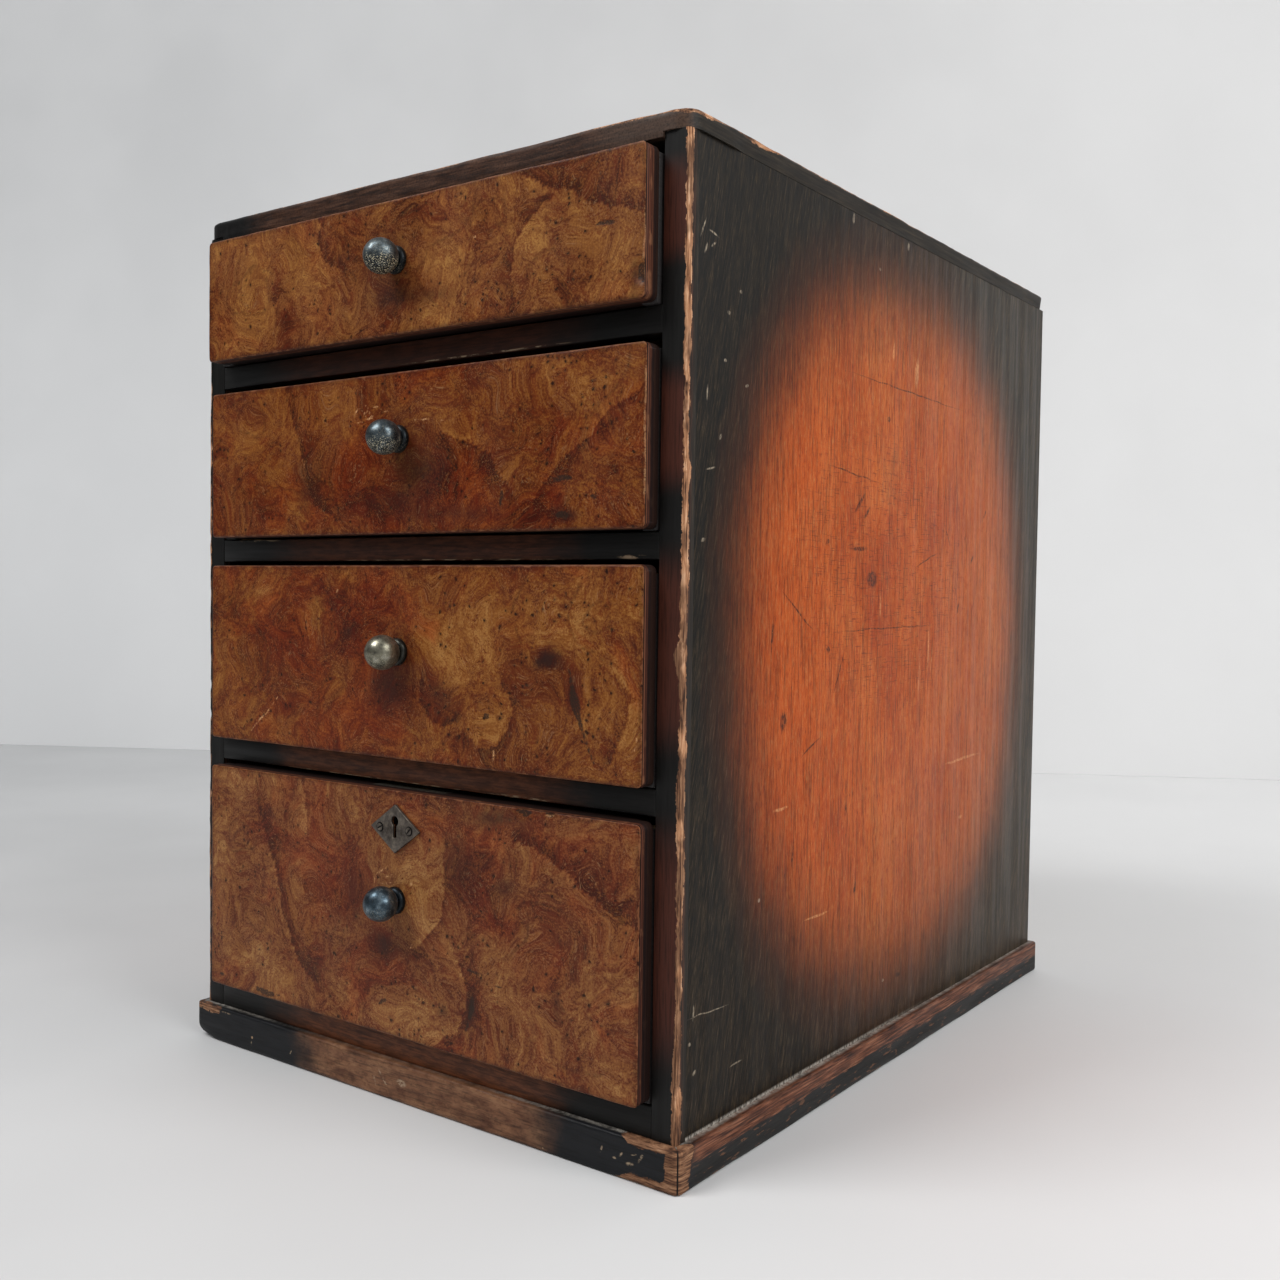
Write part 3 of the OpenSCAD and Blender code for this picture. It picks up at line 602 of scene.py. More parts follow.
def burlVeneer(name, cut, tones, redness):
    # Burl veneer under old shellac: sliced across a knotty root, so short curly grain runs round small eyes,
    # in golden and red-brown clouds with dark pips. Satin, a little uneven where the shellac has worn.
    # cut shifts the leaf in the burl, tones run from dark to pale, redness is how red its dark zones turn.
    look = Look(name)
    leaf = vectors("ADD", joined(look.x, look.z), (*cut, 0))
    bent = pushed(leaf, 44, 44)
    curl = pushed(bent, 9, 8)
    eye, fromEye, eyePick, _ = cells(curl, 23, voronoi_dimensions="2D")
    near = fade(fromEye, 0, 9, 1, 0) * eyePick.below(0.6)
    swirl = Tap(addNode(look.tree, "VectorRotate", {"Vector": curl, "Center": eye, "Angle": near * 4.0},
                        rotation_type="Z_AXIS"))

    # the grain follows the contours of a smooth field: long fibres, 0.5 to 2 mm wide
    across, up, _ = split(swirl)
    run = joined(flatNoise(swirl, 30, 1.0) * 30, across * 0.16, up * 0.16)
    grain = look.noise(1, 5, 0.72, run)
    cloud, patch = flatNoise(bent, 36, 1.0), flatNoise(bent, 12, 2, 0.6)
    mottle, fleck = flatNoise(curl, 3.6, 4, 0.62), flatNoise(leaf, 0.9, 3, 0.7)
    tone = (grain * 0.09 + cloud * 0.23 + patch * 0.15 + mottle * 0.34 + fleck * 0.25
            - look.layer("tone") * 0.035 - look.layer("seam") * 0.13 - near * 0.03)
    colour = ramp(tone, *zip((0.40, 0.475, 0.53, 0.585, 0.68), tones))

    # the wood goes from red to golden in small patches and from fibre to fibre
    warmth = flatNoise(curl, 7, 4, 0.75) * 0.6 + fleck * 0.4
    colour = layered(colour, (fade(warmth, 0.49, 0.38, 0.0, 0.45), "#6a260c"),
                     (fade(warmth, 0.51, 0.62, 0.0, 0.40), "#885628"))
    zone = look.layer("tone") * 0.14 + flatNoise(bent, 26, 3, 0.6)
    colour = blend(fade(zone, 0.42, 0.74, 0.0, redness), colour, "#fcc2b6", "MULTIPLY")

    # pips: knot buds up to a millimetre across, in clusters, each in a small dark smudge
    _, fromPip, pipPick, pipSize = cells(pushed(leaf, 5, 3), 2.7, voronoi_dimensions="2D")
    crowd = look.layer("knots") * 0.42 + fade(flatNoise(leaf, 19, 2), 0.56, 0.72, 0, 0.2) + near * 0.10 + 0.03
    chosen = pipPick.below(crowd)
    inside = pipSize * 0.45 + 0.15 - fromPip
    colour = layered(colour, (chosen * fade(inside, -1.2, 0.3, 0.0, 0.6), tones[0]),
                     (chosen * fade(inside, -0.15, 0.15, 0.0, 0.9), "#1a0b05"))

    # short dark fibres cut across, and pale ones between them
    dash = flatNoise(curl, 0.75, 3, 0.8)
    rough = fade(flatNoise(leaf, 11, 3, 0.6), 0.40, 0.60, 0.25, 1.0)
    colour = layered(colour, (rough * fade(dash, 0.45, 0.33, 0.0, 0.9), "#4a1402"),
                     (rough * fade(dash, 0.56, 0.68, 0.0, 0.6), "#98704c"))

    # stains of polish and sweat (below each knob partly painted knob shadow), figure lines, dark cracks and
    # pale scrapes along the painted strokes
    wander, scratchy = flatNoise(leaf, 2.5, 3), flatNoise(leaf, 0.7, 2)
    shaky = wander * 1.4 - 0.7
    # painted shadow: the stain patches below each knob stand partly for the knob's shadow
    stain = look.layer("stain") * fade(mottle, 0.35, 0.55, 0.5, 1.0)
    growth = fade(look.layer("figure") + shaky, 0.1, 1.1, 0.5, 0.0) * fade(mottle, 0.42, 0.56, 0.2, 1.0)
    crack = fade(look.layer("crack") + shaky, 0.0, 0.7, 0.9, 0.0) * fade(scratchy, 0.34, 0.52, 0.55, 1.0)
    scrape = fade(look.layer("scrape") + shaky, 0.0, 0.5, 1.0, 0.0) * fade(scratchy, 0.38, 0.56, 0.2, 0.9)
    colour = layered(colour, (stain, "#2a1a15"), (growth, tones[0]), (crack, "#2e2119"), (scrape, "#cf9c6c"))

    # edges: grime a few mm in, and the veneer rubbed to a thin broken pale line at the arris
    edge = look.layer("edge")
    colour = layered(colour, (fade(wander * 3 + edge, 1.2, 4.2, 0.5, 0.0), "#2e120a"),
                     (fade(flatNoise(leaf, 4, 4) * 4.5 + edge, 2.0, 2.5, 0.5, 0.0), "#8e5a3a"),
                     # painted shade: faces that do not look forwards, the keyhole's walls and the veneer's
                     # edges, near black
                     (fade(look.facing(), -0.5, -0.2), "#190c08"))
    gloss = fade(flatNoise(leaf, 30, 3), 0.3, 0.7, 0.36, 0.50)
    return look.finish(colour, gloss, fleck - crack * 2.0, 0.03, Specular_IOR_Level=0.15)


def edgeGlued(name):
    # The block behind the veneer: solid hardwood, its laid-up edge stained dark and rubbed to red-brown lines
    # next to the veneer, painted near black further back as painted shade; painted black round the keyhole as
    # painted shade in the hole; its inner face is left plain.
    look = Look(name)
    grain, rubbed = look.noise((18, 0.8, 0.8), 3, 0.6), look.noise((4, 4, 9))
    stain = ramp(look.noise((500, 0.8, 500), 2, 0.7), (0.35, "#24110b"), (0.5, "#4a261a"), (0.66, "#75482f"))
    plain = ramp(grain, (0.32, "#8a6642"), (0.5, "#b08a60"), (0.7, "#c8a67c"))
    # painted shade: black round the keyhole, so the hole looks dark
    keyholeShadow = fade(look.marks("xz", [(0, 116.5, 9, 9, 0)]), 0.1, 0.3)
    colour = layered(stain, (fade(rubbed, 0.56, 0.68, 0.0, 0.5), "#8a5d40"),
                     # painted shade: near black further back on the edge, in the gap beside the drawer
                     (fade(rubbed * 2.0 + look.y, -5.0, -3.0, 0.0, 0.9), "#0f090a"),
                     (fade(look.facing(), 0.5, 0.9), plain), (keyholeShadow, "#060505"))
    return look.finish(colour, 0.6, grain, 0.05, Specular_IOR_Level=0.2)


def agedPewter(name):
    # Cast white metal, turned and long handled: blue-grey oxide, brighter where fingers rub it, pitted and
    # dusty in the lower half. The collar next to the drawer is nearly black, partly dirt and partly painted
    # shade.
    look = Look(name)
    warm, pitted, collar, low = map(look.layer, ("warm", "pitted", "collar", "low"))
    cloud, pits = look.noise(3.0, 4, 0.6), look.noise(0.42, 3, 0.65)
    cold = ramp(cloud, (0.3, "#222b32"), (0.5, "#43525c"), (0.7, "#76868f"))
    rubbed = ramp(cloud, (0.3, "#4e4b43"), (0.5, "#87826f"), (0.7, "#aaa595"))
    strength = pitted * (fade(cloud * 1.4 + low, 0.6, 1.1) * 0.85 + 0.15)
    dust = fade(pits, 0.44, 0.39) * strength
    # the collar's near black is partly dirt and partly painted shade
    colour = layered(cold, (warm, rubbed), (fade(pits, 0.45, 0.52) * strength, "#0f0d0b"), (dust, "#e0d2ac"),
                     (collar * 0.88, "#0c0e11"))
    gloss = fade(cloud, 0.3, 0.7, 0.42, 0.22)
    gloss = gloss + strength * (0.6 - gloss)
    return look.finish(colour, gloss, pits * strength, 0.10, Metallic=0.85 - dust * 0.7)


def darkMetal(name, tones, roughness):
    # Iron, steel or brass gone dull: oxide in small clouds, duller where it is dark.
    look = Look(name)
    cloud = look.noise(1.6, 4, 0.65)
    gloss = fade(cloud, 0.3, 0.7, roughness + 0.12, roughness - 0.08)
    return look.finish(ramp(cloud, *zip((0.34, 0.5, 0.68), tones)), gloss, cloud, 0.03, Metallic=0.9)


def escutcheonMetal(name):
    # Blackened brass plate, rolled smooth and cut with a bevel: brown-grey, a little paler on its edges,
    # with painted shade in the joint round each screw head and in the screw slots.
    values = {"screwX": 8.5, "screwZ": 116.0, "headRadius": 1.8, "shadeWidth": 0.35,
              "slots": [(-8.5, 116, 2.1, 0.5, 28), (8.5, 116, 2.1, 0.5, 45)]}
    look = Look(name)
    cloud = look.noise(2.5, 4, 0.65)
    colour = ramp(cloud, (0.34, "#453e38"), (0.5, "#5e564f"), (0.68, "#7a7064"))
    # painted shade: a dark ring in the joint round each screw head, and dark slots
    away = vectors("LENGTH", joined(abs(look.x) - values["screwX"], look.z - values["screwZ"]))
    ring = fade(abs(away - values["headRadius"]), values["shadeWidth"], 0.1, 0.0, 0.95)
    slots = fade(look.marks("xz", values["slots"]), 0.1, 0.4, 0.0, 0.9)
    paintedShade = ring.maths("MAXIMUM", ring, slots)
    gloss = paintedShade * 0.3 + fade(cloud, 0.3, 0.7, 0.50, 0.36)
    return look.finish(blend(paintedShade, colour, "#070504"), gloss, cloud, 0.02, Metallic=0.8)


def makeTopBoard(material):
    values = {"corner": 8.0, "arris": (0.9, 2.2), "nicks": 0.35, "lowerArris": (0.12, 0.5), "gapTo": 27.0,
              "flush": 0.9, "step": 4.0, "edge": (0, 0.25, 0.6, 1.0, 1.5, 2.1, 2.9, 4.0), "bareWidth": 0.9,
              "sideBare": [(8, 13, 2.0), (45, 13, 2.1), (95, 40, 0.8), (170, 30, 0.5), (300, 60, 0.4)],
              "frontBare": [(135, 7, 2.2), (104, 20, 0.9), (30, 30, 0.5), (-50, 30, 0.4)],
              "frontTo": 6.0, "cornerFrom": 132.0}
    low, high = boxOf("top_board")
    sideTop, inner = boxOf("side_right")[1][2], boxOf("bottom_board")[1][0]
    slab = meshFrom("topBoard", *gridBox([gridLines(low[0], high[0], values["edge"], values["step"]),
                                          gridLines(low[1], high[1], values["edge"], values["step"] / 2),
                                          gridLines(sideTop, high[2], (0, 0.3, 0.7, 1.2, 1.8), 1.0)]))
    tongue = meshFrom("tongue", *gridBox([np.linspace(-inner, inner, 120), (low[1], high[1]),
                                          (low[2], sideTop + 0.5)]))
    joinBy(slab, tongue, "UNION")
    points = pointsOf(slab)
    flat, depth, out = rounded(points[:, :2], low[:2], high[:2], values["corner"])
    drop = high[2] - points[:, 2]
    radius = worn(points, 18, 1, *values["arris"]) + values["nicks"] * smoothNoise(points, 4, 2)
    inward, down = rolledArris(depth, drop, radius)
    fromGap = np.clip((points[:, 1] - values["gapTo"]) / 8, 0, 1)
    lowArris = values["lowerArris"][1] * (1 - fromGap) + values["lowerArris"][0] * fromGap
    inLow, up = rolledArris(depth, points[:, 2] - low[2], lowArris)
    flush = values["flush"] * fromGap * np.clip(drop / 6 - 0.15, 0, 1) * np.clip(1 - depth / 6, 0, 1)
    points[:, :2] = flat - out * (inward + inLow)[:, None]
    points[:, 0] -= np.sign(points[:, 0]) * flush
    points[:, 2] += up - down
    movePoints(slab, points)
    x, y, _ = points.T
    sideWear = bumpsAlong(y, values["sideBare"]) + 0.3 * smoothNoise(points, 9, 3) - 0.9
    frontWear = bumpsAlong(x, values["frontBare"]) + 0.3 * smoothNoise(points, 9, 4) - 1.0
    onFront = y < values["frontTo"] - np.maximum(x - values["cornerFrom"], 0)
    wear = np.where(onFront, frontWear, sideWear)
    paint(slab, bare=wear + values["bareWidth"] - np.maximum(depth, drop))
    dress(slab, material, "top_board")


def makeLipping(side, material):
    values = {"arris": (0.6, 1.5), "arrisLimit": (0.4, 3.2), "innerArris": 0.35, "chip": 0.7,
              "frontBare": [(192, 7, 2.2), (140, 14, 0.9), (33, 18, 0.9), (340, 30, 0.3)],
              "sideBare": [(150, 45, 0.6), (25, 12, 1.2), (225, 12, 0.7), (258, 4, 1.3)],
              "frontWidth": 1.15, "sideWidth": 2.2, "levels": 363, "seeds": {1: 11, -1: 31},
              "coarseTo": 4.5, "fineFrom": 4.0, "fineStep": 0.36,
              "fromFront": (0, 0.2, 0.45, 0.8, 1.15, 1.5, 1.9, 2.35, 2.8, 3.3, 3.9, 4.6, 5.3, 6.0)}
    low, high = boxOf("lipping_right")
    fine = high[0] - np.arange(values["fineFrom"], 0.05, -values["fineStep"])
    xs = np.concatenate([np.linspace(low[0], high[0] - values["coarseTo"], 5), fine, [high[0]]])
    ys = np.array(values["fromFront"]) * high[1] / values["fromFront"][-1]
    points, faces = gridBox([xs, ys, np.linspace(low[2], high[2], values["levels"])])
    x, y, height = points.T
    fromOuter, fromInner = high[0] - x, x - low[0]
    level = points * (0, 0, 1)
    seed = values["seeds"][side]

    def uneven(size, number):       # the same all round at each height
        return smoothNoise(level, size, seed + number)

    radius = worn(level, 16, seed, *values["arris"]) + 0.3 * uneven(4, 1)
    chips = np.clip(uneven(7, 2) - 0.45, 0, 1) * values["chip"] / 0.3
    inX, inY = rolledArris(fromOuter, y, np.clip(radius + chips, *values["arrisLimit"]))
    backX, backY = rolledArris(fromInner, y, np.full(len(points), values["innerArris"]))
    frontWidth = values["frontWidth"] + 0.4 * uneven(6, 3) + 0.4 * uneven(2, 4)
    sideWidth = values["sideWidth"] + 0.5 * uneven(8, 5) + 0.5 * uneven(2.5, 6)
    if side > 0:
        frontWidth = frontWidth + bumpsAlong(height, values["frontBare"])
        sideWidth = sideWidth + bumpsAlong(height, values["sideBare"])
    bare = np.minimum(frontWidth - fromOuter, sideWidth - y)
    points = points + np.column_stack([backX - inX, inY + backY, np.zeros(len(points))])
    if side < 0:
        points[:, 0] *= -1
        faces = faces[:, ::-1]
    piece = meshFrom("lippingRight" if side > 0 else "lippingLeft", points, faces)
    paint(piece, bare=bare)
    dress(piece, material, "lipping_right" if side > 0 else "lipping_left")


def makePlinth(material):
    values = {"corner": 2.8, "topArris": (0.8, 1.8), "lowerArris": (0.6, 1.4), "mitreGap": 0.1,
              "kicked": 5.5, "kickedReach": 9.0, "step": 1.6,
              "along": (0, 0.3, 0.7, 1.2, 1.8, 2.5, 3.4, 4.5, 6.0, 8.0),
              "inward": (0, 0.3, 0.7, 1.2, 1.8, 2.6, 3.6, 4.6, 6.2, 8.0),
              "upward": (0, 0.3, 0.7, 1.2, 1.8, 2.6, 4, 5.5, 7, 8.5, 10, 11.4, 12.6, 13.4, 14.1, 14.7, 15.3,
                         15.7),
              "sideDustTo": 250.0, "clearMiddle": -20.0, "clearHalf": 60.0}
    low, high = boxOf("plinth_front")
    outer, back = boxOf("plinth_right")[1][0], boxOf("plinth_back")[1][1]
    planLow, planHigh = np.array([-outer, low[1]]), np.array([outer, back])
    boards = {"front": ((-outer, low[1]), (1, 0), (0, 1)), "right": ((outer, low[1]), (0, 1), (-1, 0)),
              "back": ((outer, back), (-1, 0), (0, -1)), "left": ((-outer, back), (0, -1), (1, 0))}
    for name, (start, along, inward) in boards.items():
        length = abs((planHigh - planLow) @ along)
        grid, faces = gridBox([gridLines(0, length, values["along"], values["step"]),
                               (*values["inward"], high[1] - low[1]), (*values["upward"], high[2])])
        shrink = grid[:, 1] + values["mitreGap"]
        run = shrink + (length - 2 * shrink) * grid[:, 0] / length
        flat = start + run[:, None] * along + grid[:, 1][:, None] * inward
        points = np.column_stack([flat, grid[:, 2]])
        flat, depth, out = rounded(flat, planLow, planHigh, values["corner"])
        top = worn(points, 20, 41, *values["topArris"]) + 0.3 * smoothNoise(points, 4, 42)
        fromLeft = np.linalg.norm(flat - planLow, axis=1)
        base = worn(points, 15, 43, *values["lowerArris"])
        base = base + values["kicked"] * np.exp(-(fromLeft / values["kickedReach"]) ** 2)
        inTop, down = rolledArris(depth, high[2] - points[:, 2], top)
        inBase, up = rolledArris(depth, points[:, 2], base)
        points[:, :2] = flat - out * (inTop + inBase)[:, None]
        points[:, 2] += up - down
        piece = meshFrom("plinth" + name.capitalize(), points, faces)
        x, y, _ = points.T
        sideDust = np.clip((values["sideDustTo"] - y) / 100, 0.1, 1)
        frontDust = np.clip((np.abs(x - values["clearMiddle"]) - values["clearHalf"]) / 25, 0.15, 0.7)
        ledge = np.clip((depth - 1.6) / 1.4, 0, 1) * (grid[:, 2] > high[2] - 1)
        paint(piece, bare=plinthWear(points, depth, planLow, planHigh, high[2]),
              dust=ledge * np.where(np.abs(x) > outer - 1.5, sideDust, frontDust))
        dress(piece, material, "plinth_" + name)


def plinthWear(points, depth, low, high, height):   # margin in mm by which the lacquer is worn off
    values = {"front": 6.5, "side": 8.5, "foot": 3.4, "footFrom": 119.0, "topRight": 2.2, "rightFrom": 120.0,
              "topLeft": 0.1, "leftTo": -122.0, "leftCorner": 0.2, "mitre": 0.35,
              "unworn": -9.0, "unwornFoot": -3.0}
    x, y, z = points.T
    fromTop = height - z
    jitter = 0.6 * smoothNoise(points, 5, 44) + 0.4 * smoothNoise(points, 2, 45)
    arris = np.minimum(fromTop, depth) + np.maximum(fromTop + depth - 3, 0)
    front = values["front"] + 1.5 * jitter - (high[0] - x)
    side = values["side"] + 3 * jitter - (y - low[1]) - 0.5 * np.maximum(9 - z, 0)
    foot = values["foot"] - z - np.maximum(values["footFrom"] - x, 0) * 0.5
    topRight = values["topRight"] - fromTop - np.maximum(values["rightFrom"] - x, 0) * 0.4 - np.maximum(y, 0)
    topLeft = values["topLeft"] - arris - np.maximum(x - values["leftTo"], 0) * 0.4 - np.maximum(y, 0)
    leftCorner = values["leftCorner"] - np.hypot(x - low[0], y - low[1])
    bare = np.maximum.reduce([np.where(y < low[1] + 3, front, values["unworn"]),
                              np.where(x > high[0] - 3, side, values["unworn"]),
                              np.where((x > 0) & (y < 3), foot, values["unwornFoot"]) + jitter,
                              topRight + jitter, topLeft + jitter, leftCorner + 0.5 * jitter])
    fromMitre = np.abs(high[0] - x - y + low[1])
    return np.where(fromMitre < values["mitre"], values["unwornFoot"], bare)


def makeBackNails(material):
    # heads of hand-driven nails up both sides of the back and along its foot, each a little different
    values = {"firstRow": 8.0,      # from the foot's nails up to the lowest of each side
              "lean": (0.05, 3.0, 0.05), "smallest": 0.9,
              "inputs": {"Head radius": 1.9, "Head height": 0.6, "Shank radius": 0.8, "Shank length": 13.0,
                         "Rows": 6, "Columns": 3, "Seed": 5}}
    inputs = values["inputs"]
    low, high = boxOf("back_nails")
    face, inner = boxOf("back_panel")[1][1], boxOf("bottom_board")[1][0]
    side, footZ = high[0] - inputs["Head radius"], low[2] + inputs["Head radius"]
    firstZ = footZ + values["firstRow"]
    rowStep = (high[2] - inputs["Head radius"] - firstZ) / (inputs["Rows"] - 1)
    columnStep = 2 * inner / (inputs["Columns"] + 1)

    tree = bpy.data.node_groups.new("nailRows", "GeometryNodeTree")
    given = {name: value * mm if isinstance(value, float) else value for name, value in inputs.items()}
    for name, value in given.items():
        kind = "NodeSocketInt" if isinstance(value, int) else "NodeSocketFloat"
        tree.interface.new_socket(name, in_out="INPUT", socket_type=kind)
    tree.interface.new_socket("Geometry", in_out="OUTPUT", socket_type="NodeSocketGeometry")
    source = addNode(tree, "NodeGroupInput")
    headRadius, headHeight, shankRadius, shankLength, rows, columns, seed = (Tap(source, key)
                                                                             for key in given)
    head = addNode(tree, "GeometryNodeMeshUVSphere", {"Segments": 16, "Rings": 8, "Radius": headRadius})
    flatten = addNode(tree, "CombineXYZ", {"X": 1.0, "Y": headHeight / headRadius, "Z": 1.0})
    head = addNode(tree, "GeometryNodeTransform", {"Geometry": head, "Scale": flatten})
    shank = addNode(tree, "GeometryNodeMeshCylinder", {"Vertices": 8, "Radius": shankRadius,
                                                       "Depth": shankLength})
    sink = addNode(tree, "CombineXYZ", {"Y": shankLength * -0.5})
    shank = addNode(tree, "GeometryNodeTransform", {"Geometry": Tap(shank, "Mesh"), "Translation": sink,
                                                    "Rotation": (math.pi / 2, 0, 0)})
    nail = addNode(tree, "GeometryNodeJoinGeometry", {"Geometry": [head, shank]})
    lines = [addNode(tree, "GeometryNodeMeshLine", {"Count": count, "Start Location": np.array(start) * mm,
                                                    "Offset": np.array(offset) * mm}, mode="OFFSET")
             for count, start, offset in ((rows, (-side, face, firstZ), (0, 0, rowStep)),
                                          (rows, (side, face, firstZ), (0, 0, rowStep)),
                                          (columns, (columnStep - inner, face, footZ), (columnStep, 0, 0)))]
    spots = addNode(tree, "GeometryNodeJoinGeometry", {"Geometry": lines})
    tiltX, turnY, tiltZ = values["lean"]
    lean = addNode(tree, "FunctionNodeRandomValue", {"Min": (-tiltX, 0, -tiltZ), "Max": (tiltX, turnY, tiltZ),
                                                     "Seed": seed}, data_type="FLOAT_VECTOR")
    size = addNode(tree, "FunctionNodeRandomValue", {"Min": values["smallest"], "Max": 1.0, "Seed": seed},
                   data_type="FLOAT")
    nails = addNode(tree, "GeometryNodeInstanceOnPoints", {"Points": spots, "Instance": nail,
                                                           "Rotation": lean, "Scale": size})
    whole = addNode(tree, "GeometryNodeRealizeInstances", {"Geometry": nails})
    whole = addNode(tree, "GeometryNodeSetMaterial", {"Geometry": whole, "Material": material})
    addNode(tree, "NodeGroupOutput", {"Geometry": whole})

    piece = meshFrom("backNails")
    modifier = piece.modifiers.new("nails", "NODES")
    modifier.node_group = tree
    for item in tree.interface.items_tree:
        if item.in_out == "INPUT":
            modifier[item.identifier] = given[item.name]
    dress(applied(piece), material, "back_nails")


# Marks of use on the side panels, in mm: (y, z, half length, half width, degrees).
sideMarks = {
    "dark": [(135, 255, 8, 1.4, 40), (142, 251, 5, 1.2, 40), (135, 235, 10, 1.2, 4), (148, 222, 6, 4.5, 0),
             (62, 198, 8, 1.0, 88), (72, 164, 5, 3.2, 80), (108, 192, 2.4, 1.6, 0),
             (106, 237, 2.2, 1.5, 30), (162, 294, 2.2, 1.6, 0), (81, 110, 7, 1.0, 86),
             (183, 37, 3.0, 1.6, 0), (320, 193, 5, 1.4, 80), (262, 234, 3.4, 1.2, 60),
             (245, 209, 3.4, 1.2, 70), (278, 258, 3.2, 1.2, 50), (137, 86, 3.2, 1.4, 70),
             (127, 122, 4.0, 1.2, 84), (185, 309, 75, 0.45, -1), (130, 267, 30, 0.5, -5),
             (165, 200, 60, 0.4, 1), (82, 208, 19, 0.6, -31), (95, 152, 11, 0.6, 24),
             (230, 245, 9, 0.5, -55), (118, 181, 12, 0.5, 62), (206, 232, 16, 0.5, 18)],
    "pale": [(191, 319, 8, 2.6, 86), (166, 325, 5, 1.2, 84), (157, 210, 6, 0.8, 88), (255, 132, 27, 0.9, 2),
             (254, 102, 3, 1.1, 0), (71, 129, 7, 0.8, 0), (102, 80, 13, 0.7, 0), (210, 190, 13, 0.8, 87),
             (214, 184, 8, 0.6, 84), (200, 176, 10, 0.6, 88)],
    "white": [(11, 338, 2.6, 0.7, 70), (16, 340, 2.2, 0.6, 30), (27, 318, 1.4, 1.0, 0),
              (25, 300, 1.3, 0.9, 0), (35, 327, 1.2, 0.9, 0), (40, 293, 1.5, 0.8, 20),
              (22, 272, 1.6, 0.8, 60), (10, 62, 3.4, 0.6, 85), (8, 51, 1.2, 0.9, 0), (11, 40, 1.5, 0.9, 40),
              (55, 95, 1.2, 0.9, 0), (124, 375, 2.4, 1.2, 80), (179, 375, 2.6, 1.2, 85),
              (150, 359, 1.3, 0.9, 0), (167, 38, 1.4, 0.9, 0), (12, 234, 2.0, 0.8, 20),
              (9, 345, 5.0, 0.5, 62), (16, 344, 4.0, 0.5, -12), (13, 287, 3.5, 0.6, 84),
              (40, 35, 5.0, 0.5, 4), (20, 60, 16, 0.35, -3), (16, 260, 3.6, 0.5, 10)],
}
leftSideMarks = {
    "dark": [(120, 240, 9, 1.0, 35), (210, 170, 6, 2.6, 70), (260, 262, 30, 0.5, 3), (90, 150, 8, 1.0, 86),
             (170, 100, 14, 0.5, -20)],
    "pale": [(150, 290, 10, 0.8, 84), (240, 120, 22, 0.7, 4), (100, 210, 6, 0.8, 20)],
    "white": [(20, 320, 2.0, 0.8, 30), (34, 90, 1.6, 0.9, 0), (330, 340, 2.4, 0.7, 60),
              (300, 40, 1.6, 0.8, 0)],
}


def makeCase():
    values = {"easedSide": 0.15, "easedBoard": 0.5, "easedPly": 0.4, "sideSpecks": 0.035,
              "plinthSpecks": 0.10}
    upright = (0.9, 0.9, 18)        # the size of a fibre bundle
    sideRight, sideLeft = (
        lacquer("sunburstLacquer" + side, sideTint(*marks.values()), upright, False, values["sideSpecks"])
        for side, marks in (("Right", sideMarks), ("Left", leftSideMarks)))
    stile = lacquer("stileLacquer", stileTint, upright)
    rails = lacquer("railLacquer", railTint, (18, 0.9, 0.9), False)
    top = lacquer("topLacquer", topTint, (0.9, 18, 0.9))
    plinth = lacquer("plinthLacquer", plinthTint, (12, 12, 0.9), True, values["plinthSpecks"])
    pine = roughWood("runnerPine", ("#8e6a45", "#b48f63", "#cfae82"), (1.4, 24, 1.4))
    ply = roughWood("backPly", ("#6b4a30", "#94714c", "#ad8b63"), (1.3, 1.3, 40))
    iron = darkMetal("nailIron", ("#2c2724", "#59524c", "#7d756c"), 0.55)
    easedCopy("side_right", values["easedSide"], sideRight)
    easedCopy("side_left", values["easedSide"], sideLeft)
    for node in ("rail_1", "rail_2", "rail_3", "bottom_board"):
        easedCopy(node, values["easedBoard"], rails)
    for node in [n for n in nodes if n.startswith("runner") or n == "drawer_stops"]:
        easedCopy(node, values["easedBoard"], pine)
    easedCopy("back_panel", values["easedPly"], ply)
    makeTopBoard(top)
    for side in (-1, 1):
        makeLipping(side, stile)
    makePlinth(plinth)
    makeBackNails(iron)


makeCase()
print("case ready")


def smoothPath(corners, steps=8):   # a curve through the given points
    points = np.array(corners, float)
    if len(points) < 3:
        return points
    ends = [2 * points[0] - points[1], *points, 2 * points[-1] - points[-2]]
    t = np.linspace(0, 1, steps, endpoint=False)[:, None]
    path = []
    for a, b, c, d in zip(ends, ends[1:], ends[2:], ends[3:]):
        path.append(b + t * (c - a) / 2 + t ** 2 * (a - 2.5 * b + 2 * c - d / 2)
                    + t ** 3 * (1.5 * b - 1.5 * c + (d - a) / 2))
    return np.concatenate(path + [points[-1:]])


def ringPath(x, z, radius, seed=1):     # an uneven ring
    turn = np.linspace(0, 2 * math.pi, 13)
    swell = 1 + 0.16 * np.sin(2 * turn + seed) + 0.10 * np.sin(3 * turn + 2 * seed)
    return [(x + radius * s * math.cos(a), z + 0.85 * radius * s * math.sin(a)) for a, s in zip(turn, swell)]


